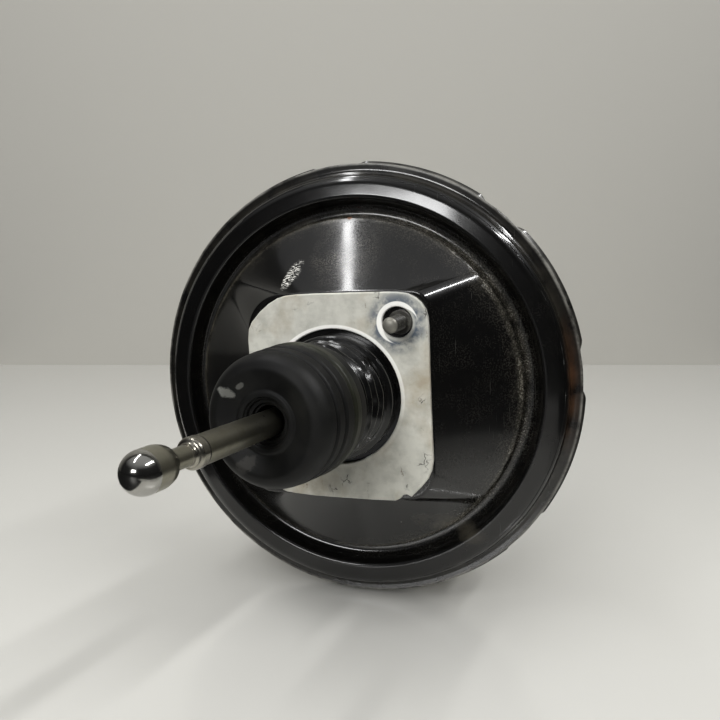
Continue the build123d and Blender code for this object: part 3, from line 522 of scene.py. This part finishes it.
ballSteel = cloudyFinish("polishedSteel", {
    "light": "#b9b8b4", "dark": "#8f8e88", "size": 7, "break": 0.6, "rough": (0.084, 0.168), "metallic": 1,
})
zincBand = cloudyFinish("satinZincCollar", {
    "light": "#a8a59c", "dark": "#8a867a", "size": 7, "break": 0.6, "rough": (0.168, 0.336), "metallic": 1,
})
bareSteel = cloudyFinish("drawnSteel", {
    "light": "#8c8c8a", "dark": "#6c6b68", "size": 3, "rough": (0.28, 0.42), "metallic": 1,
})
sealRubber = cloudyFinish("nitrileRubber", {"light": "#1a1a1a", "dark": "#262524", "size": 4, "rough": (0.4, 0.6)})
hubResin = cloudyFinish("phenolicMoulding", {"light": "#2b2420", "dark": "#1f1a17", "size": 5, "rough": (0.36, 0.54)})
nylon = cloudyFinish("glassFilledNylon", {"light": "#1d1d1f", "dark": "#2b2b2c", "size": 2, "rough": (0.4, 0.6)})
felt = cloudyFinish("woolFelt", {"light": "#8f8a7c", "dark": "#6f6a5e", "size": 1, "rough": (0.76, 1.14)})
print("materials made")

for name, material in {
    "rear_stud_plate": bareSteel, "front_stud_plate": bareSteel,
    "master_cylinder_studs": zinc, "rear_seal": sealRubber, "seal_retainer": nylon,
    "diaphragm_plate": zinc, "diaphragm": sealRubber, "valve_body": hubResin, "valve_plunger": zinc,
    "stop_key": bareSteel, "rod_spring_seat": bareSteel, "rod_spring": bareSteel,
    "poppet_valve": sealRubber, "poppet_retainer": bareSteel, "poppet_spring": bareSteel,
    "air_filter": felt, "silencer": felt, "reaction_disc": sealRubber, "output_rod": zinc,
    "output_rod_screw": zinc, "output_rod_retainer": bareSteel, "return_spring": bareSteel,
    "check_valve_grommet": sealRubber, "check_valve_body": nylon, "check_valve_disc": sealRubber,
    "check_valve_spring": bareSteel,
}.items():
    nodes[name].data.materials.clear()
    nodes[name].data.materials.append(material)


# Rear shell: a square pad that slopes down to a round foot, then trough, bead, wall and flange

rearShell = {
    "padHalfWidth": 50.2, "padHalfHeight": 54.6, "padShift": 1.1, "padCorners": (9, 21, 9, 15), "padY": 3,
    "padEdge": 1.2, "padInset": 0.6, "ridgeArc": 4.2, "ridgeShift": 5.5, "sheet": 1.6, "neckRadius": 30.5,
    "neckReach": 9, "cornerSteps": 22, "sideSteps": 52,
    "outerRim": [  # radius, depth, rounding: foot, trough, bead, wall, flange
        (95, 32, 1.3), (95, 40.5, 2.6), (101.5, 40.5, 2.8), (105.5, 31.4, 1.8), (114.6, 32.7, 1.8),
        (118, 35.2, 1.8), (118.9, 41, 3.0), (125, 41, 0.6),
    ],
    "holeEdgeHighlight": [
        (125, 42.6, 0.6), (117.7, 42.6, 3), (116.6, 36.8, 1.5), (106.4, 33.0, 2.5), (102.7, 42.1, 2.5),
        (93.4, 42.1, 2.5), (93.4, 32.6, 1.5),
    ],
    "waviness": 0.06, "wavesFrom": 60, "wavesFull": 80, "longWave": 38, "shortWave": 17,
}


def padOutline(size):
    # Round-cornered square and the angle on the foot that answers to each of its points
    outline = []
    spread = size["ridgeArc"] / 2
    ridges = [45 + 90 * q + size["ridgeShift"] * (1 if q % 2 else -1) for q in range(5)]
    corners = []
    for quarter, radius in enumerate(size["padCorners"]):
        cx = (size["padHalfWidth"] - radius) * (1 if quarter in (0, 3) else -1) + size["padShift"]
        cz = (size["padHalfHeight"] - radius) * (1 if quarter in (0, 1) else -1)
        arc = []
        for step in range(size["cornerSteps"] + 1):
            turn = math.radians(90 * quarter + 90 * step / size["cornerSteps"])
            arc.append((cx + radius * math.cos(turn), cz + radius * math.sin(turn)))
        corners.append(arc)
    for quarter, arc in enumerate(corners):
        for step, (x, z) in enumerate(arc):
            outline.append((x, z, ridges[quarter] - spread + 2 * spread * step / size["cornerSteps"]))
        begin, finish = ridges[quarter] + spread, ridges[quarter + 1] - spread
        (startX, startZ), (endX, endZ) = arc[-1], corners[(quarter + 1) % 4][0]
        for step in range(1, size["sideSteps"]):
            share = step / size["sideSteps"]
            outline.append((
                startX + (endX - startX) * share, startZ + (endZ - startZ) * share, begin + (finish - begin) * share,
            ))
    return outline


def makeRearShell(size):
    t = size["sheet"]
    neck, pad = size["neckRadius"], size["padY"]
    rims = [*size["outerRim"], *size["holeEdgeHighlight"]]
    rounds = [mm(r) for r in (1, size["padEdge"], *[corner[2] for corner in rims], 4, 0.5)]
    columns = []
    for x, z, footAngle in padOutline(size):
        padAngle = math.degrees(math.atan2(z, x))
        inset = 1 - size["padInset"] / math.hypot(x, z)
        columns.append(softened([
            polar(neck, padAngle, -size["neckReach"]), polar(neck, padAngle, pad), Vector((mm(x), mm(pad), mm(z))),
            *[polar(corner[0], footAngle, corner[1]) for corner in rims],
            Vector((mm(x) * inset, mm(pad + t), mm(z) * inset)), polar(neck - t, padAngle, pad + t),
            polar(neck - t, padAngle, -size["neckReach"]),
        ], rounds))
    shell = skin("rearShell", columns, loopLine=True)
    span = mm(size["wavesFull"] - size["wavesFrom"])
    for vertex in shell.data.vertices:  # pressings are never quite true
        place = vertex.co
        reach = min(1, max(0, (math.hypot(place.x, place.z) - mm(size["wavesFrom"])) / span))
        lift = noise.noise(place * 1000 / size["longWave"]) + 0.5 * noise.noise(place * 1000 / size["shortWave"])
        vertex.co.y += lift * mm(size["waviness"]) * reach
    return shell


def makeTab(size, middle):
    # Crimp tab: forward past the front flange, then folded in behind it
    radius, end = size["radius"], size["end"]
    outer = [(radius, size["start"]), (radius, end), (radius - size["fold"], end)]
    inner = [(r - size["sheet"] if i < 2 else r, y - size["sheet"] if i else y) for i, (r, y) in enumerate(outer)]
    section = [*outer, *reversed(inner)]
    line = roundLine([*section, section[0]], back=0.5)[:-1]
    columns = []
    for step in range(7):
        turn = math.radians(middle - size["angle"] / 2 + size["angle"] * step / 6)
        columns.append([(p.x * math.cos(turn), p.y, p.x * math.sin(turn)) for p in line])
    return skin("tab", columns, loopRound=False, loopLine=True, caps=True)


crimpTab = {"radius": 125, "start": 41.3, "end": 49.5, "fold": 3.8, "sheet": 1.6, "angle": 5, "first": 48.5, "count": 8}

shellPieces = [makeRearShell(rearShell)]
for place in range(crimpTab["count"]):
    shellPieces.append(makeTab(crimpTab, crimpTab["first"] + place * 360 / crimpTab["count"]))
rearShellMesh = joined("rear_shell_pressing", shellPieces)
paint(rearShellMesh, enamel)
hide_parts("rear_shell")
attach(rearShellMesh, "shell")
print("rear shell made")


# Front shell: its flange lugs run out in long ramps, and turn forward at their edge

frontShell = {
    "flangeY": 46, "sheet": 1.6, "edgeRadius": 123, "lugRadius": 126.5, "skirt": 8, "lugHalf": 19.5, "ramp": 4,
    "first": 26, "count": 8, "segments": 576, "drill": (90, 120), "outside": [
        (118, 47.6, 3), (116, 84, 10), (88, 100, 5), (62, 100, 5), (54, 111, 5), (20.5, 111, 2), (20.5, 100),
    ],
    "inside": [
        (22.1, 100), (22.1, 109.4, 1), (53, 109.4, 3.5), (61.2, 98.4, 3.5), (87.4, 98.4, 3.5), (114.4, 83.4, 9),
        (116.4, 46, 1.5),
    ],
    "holes": [(42, 0, 5.05), (-42, 0, 5.05), (-48.21, 57.45, 8)],
}


def makeFrontShell(size):
    columns = []
    half = 180 / size["count"]
    for s in range(size["segments"]):
        degrees = 360 * s / size["segments"]
        apart = abs((degrees - size["first"] + half) % (2 * half) - half)  # degrees from the nearest lug's middle
        lug = min(1, max(0, (size["lugHalf"] - apart) / size["ramp"]))
        edge = size["edgeRadius"] + (size["lugRadius"] - size["edgeRadius"]) * lug
        low = size["flangeY"]
        reach = size["sheet"] * 1.02 + (size["skirt"] - size["sheet"]) * lug
        rim = [
            (edge, low), (edge, low + reach), (edge - size["sheet"], low + reach),
            (edge - size["sheet"], low + size["sheet"]),
        ]
        outline = [*rim, *size["outside"], *size["inside"]]
        line = softened(
            [Vector((mm(p[0]), mm(p[1]), 0)) for p in [*outline, outline[0]]],
            [mm(p[2] if len(p) > 2 else 0.5) for p in outline[1:]], 4, hold=0.00015,
        )[:-1]
        turn = math.radians(degrees)
        columns.append([(p.x * math.cos(turn), p.y, p.x * math.sin(turn)) for p in line])
    shell = skin("front_shell_pressing", columns, loopLine=True)
    back, front = size["drill"]
    for x, z, radius in size["holes"]:
        drill = turned("drill", [(0, back), (radius, back), (radius, front), (0, front)], segments=48, back=0)
        drill.data.transform(Matrix.Translation((mm(x), 0, mm(z))))
        cut = shell.modifiers.new("hole", "BOOLEAN")
        cut.operation = "DIFFERENCE"
        cut.object = drill
        mesh = bpy.data.meshes.new_from_object(shell.evaluated_get(bpy.context.evaluated_depsgraph_get()))
        shell.modifiers.clear()
        shell.data = mesh
        bpy.data.objects.remove(drill)
    return shell


frontShellMesh = makeFrontShell(frontShell)
paint(frontShellMesh, enamel)
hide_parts("front_shell")
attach(frontShellMesh, "shell")
print("front shell made")


# Gasket: a flat sheet with worn edges

gasket = {
    "thickness": 3.0, "holeRadius": 36, "studHole": 8.0, "studPlace": (35.2, 38.8), "edge": 0.7,
    "outline": [
        (-48.2, -40), (-48.4, -20), (-48.3, 0), (-48.2, 22), (-48.3, 31), (-47.6, 36.6), (-45.5, 40.5),
        (-40.7, 45.6), (-35.3, 49.8), (-30.1, 52.6), (-25.7, 53.8), (-19.4, 54.3), (-9.6, 54.5),
        (10.6, 54.5), (30, 54.4), (36, 54.2), (41.4, 53.2), (45.3, 51.2), (48, 48.8), (50.1, 45.6),
        (51.1, 42), (51.4, 37.3), (51.3, 15.4), (51.4, -4), (51.7, -22), (51.9, -32.8), (51, -37.9),
        (48.9, -42.6), (45.1, -47.2), (41.5, -50.8), (40.3, -52), (38.1, -50.9), (35.7, -51.4),
        (33.8, -53.6), (31.5, -54.8), (17.9, -55), (-2, -54.8), (-14, -54.6), (-26, -53.8),
        (-30.6, -53.2), (-40, -49.5), (-45.5, -45.5),
    ],
}


def makeGasket(size):
    curve = bpy.data.curves.new("gasketCurve", "CURVE")
    curve.dimensions = "2D"
    curve.fill_mode = "BOTH"
    curve.extrude = mm(size["thickness"] / 2 - size["edge"])
    curve.bevel_depth = mm(size["edge"])
    curve.bevel_resolution = 3
    edge = size["edge"]
    sx, sz = size["studPlace"]
    loops = [[(x * 0.988, z * 0.988) for x, z in size["outline"]]]
    for cx, cz, radius, count in (
        (0, 0, size["holeRadius"], 96), (sx, sz, size["studHole"], 40), (-sx, -sz, size["studHole"], 40),
    ):
        turns = [2 * math.pi * k / count for k in range(count)]
        loops.append([(cx + (radius + edge) * math.cos(t), cz + (radius + edge) * math.sin(t)) for t in turns])
    for loop in loops:
        spline = curve.splines.new("POLY")
        spline.points.add(len(loop) - 1)
        for point, (x, z) in zip(spline.points, loop):
            point.co = (mm(x), mm(z), 0, 1)
        spline.use_cyclic_u = True
    flat = bpy.data.objects.new("gasketCurve", curve)
    bpy.context.scene.collection.objects.link(flat)
    mesh = bpy.data.meshes.new_from_object(flat)
    bpy.data.objects.remove(flat)
    mesh.transform(Matrix.Rotation(math.radians(90), 4, "X"))
    mesh.transform(Matrix.Translation((0, mm(size["thickness"] / 2), 0)))
    obj = bpy.data.objects.new("gasket_sheet", mesh)
    bpy.context.scene.collection.objects.link(obj)
    return obj


gasketMesh = makeGasket(gasket)
paint(gasketMesh, gasketFinish)
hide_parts("gasket")
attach(gasketMesh, "shell")
print("gasket made")


# Studs with rolled threads

studs = {
    "places": ((37, 39), (-37, -39)), "radius": 4, "pitch": 1.25, "threadDepth": 0.62, "tip": -21,
    "collarRadius": 6.2, "collarEnd": -1.2, "head": (8.5, 7.1, 10.1), "segments": 48,
    "rowsPerTurn": 10, "runOut": 1.4, "domeLength": 2.2,
}


def threadedEnd(size, start, end):
    # Rows of points up a helical thread, from the root of the stud to its blunt domed tip
    rows = []
    length = abs(end - start)
    count = int(length / size["pitch"] * size["rowsPerTurn"])
    dome = size["domeLength"]
    way = 1 if end > start else -1
    for row in range(count + 1):
        along = length * row / count
        toTip = length - along
        ring = []
        for s in range(size["segments"]):
            phase = along / size["pitch"] - s / size["segments"]
            wave = abs((phase % 1) * 2 - 1)
            fade = min(1, along) * min(1, max(0, (toTip - size["runOut"]) / 1.2))
            radius = size["radius"] - size["threadDepth"] * (1 - min(1, wave * 1.25)) * fade
            if toTip < dome:
                radius = min(radius, size["radius"] * math.sqrt(max(0, 1 - ((dome - toTip) / dome) ** 2.4 * 0.62)))
            turn = 2 * math.pi * s / size["segments"]
            ring.append((mm(radius * math.cos(turn)), mm(start + way * along), mm(radius * math.sin(turn))))
        rows.append(ring)
    centre = (0, mm(end + way * 0.35), 0)
    rows.append([tuple(0.45 * a + 0.55 * b for a, b in zip(p, centre)) for p in rows[-1]])
    rows.append([centre] * size["segments"])
    return rows


def makeStud(size, x, z):
    head, low, high = size["head"]
    collar = size["collarRadius"]
    shank = turned("shank", [
        (0, high), (head, high, 0.4), (head, low, 0.3), (collar, low), (collar, size["collarEnd"], 0.5),
        (size["radius"] - 0.3, size["collarEnd"]),
    ], segments=size["segments"])
    rows = threadedEnd(size, size["collarEnd"], size["tip"])
    thread = skin("thread", [list(column) for column in zip(*rows)])
    stud = joined("stud", [shank, thread])
    stud.data.transform(Matrix.Translation((mm(x), 0, mm(z))))
    return stud


studMesh = joined("mounting_studs_threaded", [makeStud(studs, x, z) for x, z in studs["places"]])
paint(studMesh, threadMetal)
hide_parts("mounting_studs")
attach(studMesh, "shell")
print("studs made")


# Pushrod, turned in one piece from the joint in the plunger to the pedal ball

pushrod = {
    "pivotY": -9, "lean": 5.4, "heading": 170,
    "outline": [
        (0, 5), (2.8, 4.1, 0.8), (4.6, 2, 0.8), (5, 0, 0.8), (4.4, -2.4, 0.6), (3.4, -4.2, 0.6),
        (3.4, -13, 0.4), (5, -14, 0.3), (5, -30, 0.1), (6, -30, 0.2), (6, -113.4),
    ],
    "collar": [(6, -113.4), (6.3, -114.2, 0.4), (6.3, -118.8, 1.5), (4.2, -119.8, 0.8), (4.15, -122)],
    "neck": [(4.15, -122), (4.15, -131.2, 1.4), (6.9, -133.4, 1.6), (8, -137.4, 1.2), (8, -144.6)],
    "ballRadius": 8, "ballY": -144.6,
}


def makeRodPiece(name, outline, size):
    piece = turned(name, outline, segments=96)
    heading = math.radians(size["heading"] - 90)
    axis = Vector((math.cos(heading), 0, math.sin(heading)))
    piece.data.transform(Matrix.Rotation(-math.radians(size["lean"]), 4, axis))
    piece.data.transform(Matrix.Translation((0, mm(size["pivotY"]), 0)))
    return piece


ballOutline = [
    (pushrod["ballRadius"] * math.cos(math.pi * step / 60),
     pushrod["ballY"] - pushrod["ballRadius"] * math.sin(math.pi * step / 60), 0.02)
    for step in range(31)
]
for name, outline, metal in (
    ("pushrod_shank", pushrod["outline"], zinc), ("pushrod_collar", pushrod["collar"], zincBand),
    ("pushrod_neck", pushrod["neck"], zinc), ("pedal_ball_polished", ballOutline, ballSteel),
):
    rodPiece = makeRodPiece(name, outline, pushrod)
    paint(rodPiece, metal)
    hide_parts("pushrod")
    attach(rodPiece, "input_rod")
print("pushrod made")


# Dust boot: bellows on the neck, and a large cup whose lip follows the rod

boot = {
    "pivotY": -9, "leanX": -0.093, "leanZ": 0.016, "lift": 0.9, "segments": 160,
    "foldsFrom": 7, "foldsLength": 24, "twist": 1.7, "crinkle": 1.6, "swell": 1.1,
    "base": [
        (30, 2.8), (33, 2.8, 0.4), (33, -5.6, 1.3), (28.4, -7.4, 1), (28.0, -8.6, 0.8), (31, -11, 1.3),
        (27.8, -13.8, 1.2), (30.8, -16.8, 1.3), (27.8, -19.8, 1.2), (30.5, -22.8, 1.3), (27.8, -25.8, 1.2),
        (30.3, -28.8, 1.3), (27.8, -31.4, 0.8), (27.8, -32.8), (26, -32.8), (26, -10, 0.5), (30, -7, 0.5),
    ],
    "ring": [
        (27, -31.6), (30.2, -32.4, 0.5), (31.2, -33.6, 0.6), (31.2, -39.4, 0.6), (30.2, -40.6, 0.4),
        (30.2, -43), (27, -43, 0.5),
    ],
    "band": [
        (28, -40.6), (30.6, -41.0, 0.4), (32.4, -41.8, 0.6), (32.4, -46.6, 0.6), (30.8, -47.6, 0.4),
        (30.8, -50), (28, -50, 0.5),
    ],
    "cup": [
        (28.5, -47.0), (30.8, -47.8, 0.3), (30.9, -48.4, 0.3), (31.8, -49.2, 0.6), (31.8, -55.8, 0.6),
        (30.2, -56.7, 0.4), (30.2, -57.3, 0.3), (31.3, -58.2, 0.6), (31.3, -63.8, 0.6), (29.9, -64.7, 0.4),
        (29.9, -65.3, 0.3), (30.9, -66.2, 0.6), (30.4, -71.0, 3.4), (27.6, -74.6, 2.2), (23.6, -75.8, 1.2),
        (21.0, -75.0, 1.2), (14.6, -72.8, 1.2), (13.4, -73.6, 0.5), (11.5, -73.6, 0.5), (11.0, -72.4, 0.4),
        (10.2, -72.3, 0.3), (10.0, -70.9, 0.4), (8.4, -70.7, 0.3), (8.2, -69.2, 0.4), (7.1, -69.0, 0.3),
        (7.1, -67.4, 0.3), (12, -67.0, 0.5), (22, -72.5, 2), (28, -68, 3), (28.5, -60, 1),
    ],
}


def makeBootPiece(name, outline, size):
    # Rings about the leaning rod, which draws them aside, each square to its line. The base's folds
    # are twisted and crinkled as well.
    line = roundLine([*outline, outline[0]], back=0.3)[:-1]
    columns = []
    for s in range(size["segments"]):
        turn = 2 * math.pi * s / size["segments"]
        cos, sin = math.cos(turn), math.sin(turn)
        column = []
        for p in line:
            away = max(0, mm(size["pivotY"]) - p.y)
            held = min(1, away / mm(8))
            along = min(1, max(0, (-p.y - mm(size["foldsFrom"])) / mm(size["foldsLength"])))
            fold = math.sin(math.pi * along) if name == "boot_base" else 0
            crinkle = mm(size["crinkle"]) * noise.noise((4 * cos, 4 * sin, p.y * 90))
            twist = fold * (mm(size["twist"]) * math.sin(turn - 0.6) + fold * crinkle)
            around = p.x + mm(size["swell"]) * fold * noise.noise((3 * cos, 3 * sin, p.y * 260 + 7))
            x, z = around * cos, around * sin
            column.append((
                x + size["leanX"] * away, p.y + twist + (x * size["leanX"] + z * size["leanZ"]) * held,
                z + size["leanZ"] * away + mm(size["lift"]) * held,
            ))
        columns.append(column)
    return skin(name, columns, loopLine=True)


for name, finish in (("base", glossRubber), ("ring", bootRubber), ("band", oliveRubber), ("cup", bootRubber)):
    piece = makeBootPiece("boot_" + name, boot[name], boot)
    paint(piece, finish)
    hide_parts("dust_boot")
    if name == "cup":
        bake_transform(piece)
    else:
        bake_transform(piece)
print("boot made")


# Springs: the CAD's own coils, copied in place. The rod spring's ends are on bodies two joints
# apart, so it is parted halfway, on the plunger.

springs = [
    {"node": "return_spring", "from": 29.3, "to": 106.6, "bodies": ("power_piston", "shell")},
    {"node": "check_valve_spring", "from": 108.9, "to": 116.2, "bodies": ("check_disc", "shell")},
    {"node": "rod_spring", "from": -28.9, "to": -33.2, "bodies": ("power_piston", "plunger"), "half": "front"},
    {"node": "rod_spring", "from": -33.2, "to": -37.6, "bodies": ("plunger", "input_rod"), "half": "back"},
]


def makeSpring(spring):
    mesh = nodes[spring["node"]].data.copy()
    mesh.transform(nodes[spring["node"]].matrix_world)
    if "half" in spring:
        cut = spring["to"] if spring["half"] == "front" else spring["from"]
        work = bmesh.new()
        work.from_mesh(mesh)
        bmesh.ops.bisect_plane(
            work, geom=[*work.verts, *work.edges, *work.faces], plane_co=(0, mm(cut), 0), plane_no=(0, 1, 0),
            clear_inner=spring["half"] == "front", clear_outer=spring["half"] == "back",
        )
        work.to_mesh(mesh)
        work.free()
    coils = bpy.data.objects.new("_".join([spring["node"], spring.get("half", "whole"), "coils"]), mesh)
    bpy.context.scene.collection.objects.link(coils)
    return coils


for spring in springs:
    coils = makeSpring(spring)
    paint(coils, bareSteel)
    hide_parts(spring["node"])
    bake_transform(coils)
print("springs made")


# Stage: pale table and wall, tilted as little as the booster lies rolled on the table. Past the
# table's edges the room is dark, which keeps the paint black; the camera still sees it pale.

stage = {
    "tilt": 2.4, "rimRadius": 127.5, "wallDistance": 1356, "edgeMargin": 40, "floorDrop": 2,
    "floor": "#b9b8b3", "wall": "#aaa8a1", "dark": "#0a0a0a", "tableBehind": 300, "tableLength": 2200,
    "half": 5000, "depth": 8000,
}
camera = {"place": (127.7, -352.5, 66.7), "lens": 36.05}
right = Vector((0.9532, 0.2997, -0.0400))
down = Vector((0.0, -0.1323, -0.9912))
ahead = Vector((-0.3024, 0.9448, -0.1261))


def stageFinish(name, color, roughness, paleOnlyToCamera=False):
    material, tree, place = newMaterial(name)
    if not paleOnlyToCamera:
        return surfaced(material, tree, {"Base Color": hexColor(color), "Roughness": roughness})
    seen = addNode(tree, "ShaderNodeLightPath").outputs["Is Camera Ray"]
    tint = layered(tree, stage["dark"], (seen, color))
    return surfaced(material, tree, {"Base Color": tint, "Roughness": roughness})


def makeSheet(name, points, finish):
    mesh = bpy.data.meshes.new(name)
    mesh.from_pydata([tuple(p) for p in points], [], [tuple(range(len(points)))])
    obj = bpy.data.objects.new(name, mesh)
    bpy.context.scene.collection.objects.link(obj)
    obj.data.materials.append(finish)


def makeStage():
    tilt = math.radians(stage["tilt"])
    up = Vector((math.sin(tilt), 0, math.cos(tilt)))
    heading = (ahead - up * ahead.dot(up)).normalized()
    side = heading.cross(up)
    eye = Vector([mm(v) for v in camera["place"]])
    below = eye - up * (eye.dot(up) + mm(stage["rimRadius"]))
    table = []
    for way in (1, -1):  # the table's edges run just outside the camera's view
        slant = ahead + right * 0.5 * way
        slant = (slant - up * slant.dot(up)).normalized()
        near = below + side * way * mm(stage["edgeMargin"]) - slant * mm(stage["tableBehind"])
        table.append([near, near + slant * mm(stage["tableLength"])][::way])
    makeSheet("tableTop", [*table[0], *table[1]], stageFinish("lacqueredTable", stage["floor"], 0.14))
    corner = below + heading * mm(stage["wallDistance"])
    left, far = corner - side * mm(stage["half"]), corner + side * mm(stage["half"])
    back, drop = heading * mm(stage["depth"]), up * mm(stage["floorDrop"])
    makeSheet("floorAround", [
        left - drop, far - drop, far - back - drop, left - back - drop,
    ], stageFinish("floorAround", stage["floor"], 0.5, True))
    high = up * mm(stage["half"])
    makeSheet("wall", [left, far, far + high, left + high], stageFinish("wallPaint", stage["wall"], 0.7))


makeStage()


# Camera, lamps and the room's own light

lens = bpy.data.cameras.new("camera")
lens.lens = camera["lens"]
lens.sensor_width = 36
eye = bpy.data.objects.new("camera", lens)
eye.matrix_world = Matrix((
    (right.x, -down.x, -ahead.x, mm(camera["place"][0])),
    (right.y, -down.y, -ahead.y, mm(camera["place"][1])),
    (right.z, -down.z, -ahead.z, mm(camera["place"][2])),
    (0, 0, 0, 1),
))
bpy.context.scene.collection.objects.link(eye)
bpy.context.scene.camera = eye

lamps = [
    {"name": "tubeLeft", "place": (-0.39, -0.27, 1.29), "size": (0.07, 1.0), "spin": 50, "watts": 5},
    {"name": "tubeRight", "place": (1.05, -0.16, 1.2), "size": (0.06, 1.2), "spin": 90, "watts": 15},
    {"name": "windowBehind", "place": (-0.35, -2.1, 0.78), "size": (0.7, 0.3), "spin": 0, "watts": 12},
    {"name": "softFront", "place": (-0.3, -1.7, 1.3), "size": (1.6, 1.6), "spin": 0, "watts": 34, "unmirrored": True},
    {"name": "softTop", "place": (-0.2, 0.3, 2.2), "size": (2.4, 2.4), "spin": 0, "watts": 26, "unmirrored": True},
]
for lamp in lamps:
    light = bpy.data.lights.new(lamp["name"], "AREA")
    light.shape = "RECTANGLE"
    light.size, light.size_y = lamp["size"]
    light.energy = lamp["watts"]
    obj = bpy.data.objects.new(lamp["name"], light)
    obj.location = lamp["place"]
    aim = (-Vector(lamp["place"])).to_track_quat("-Z", "Y").to_matrix()
    obj.rotation_euler = (aim @ Matrix.Rotation(math.radians(lamp["spin"]), 3, "Z")).to_euler()
    obj.visible_glossy = not lamp.get("unmirrored")
    bpy.context.scene.collection.objects.link(obj)

world = bpy.data.worlds.new("room")
bpy.context.scene.world = world
world.use_nodes = True
room = world.node_tree
room.nodes.clear()
toward = addNode(room, "ShaderNodeTexCoord").outputs["Generated"]
height = addNode(room, "ShaderNodeSeparateXYZ", {0: toward}).outputs["Z"]
ceiling = addNode(room, "ShaderNodeValToRGB", {0: height}, stops=[
    (0.0, 0.02), (0.5, 0.03), (0.8, 0.4), (1.0, 0.5),
])
seen = addNode(room, "ShaderNodeLightPath").outputs["Is Camera Ray"]
sky = addNode(room, "ShaderNodeMix", {0: seen, 6: ceiling, 7: hexColor("#b9b7b0")}, data_type="RGBA")
background = addNode(room, "ShaderNodeBackground", {"Color": sky.outputs[2], "Strength": 1})
addNode(room, "ShaderNodeOutputWorld", {"Surface": background})

bpy.context.scene.view_settings.view_transform = "Standard"
print("camera and lights set")
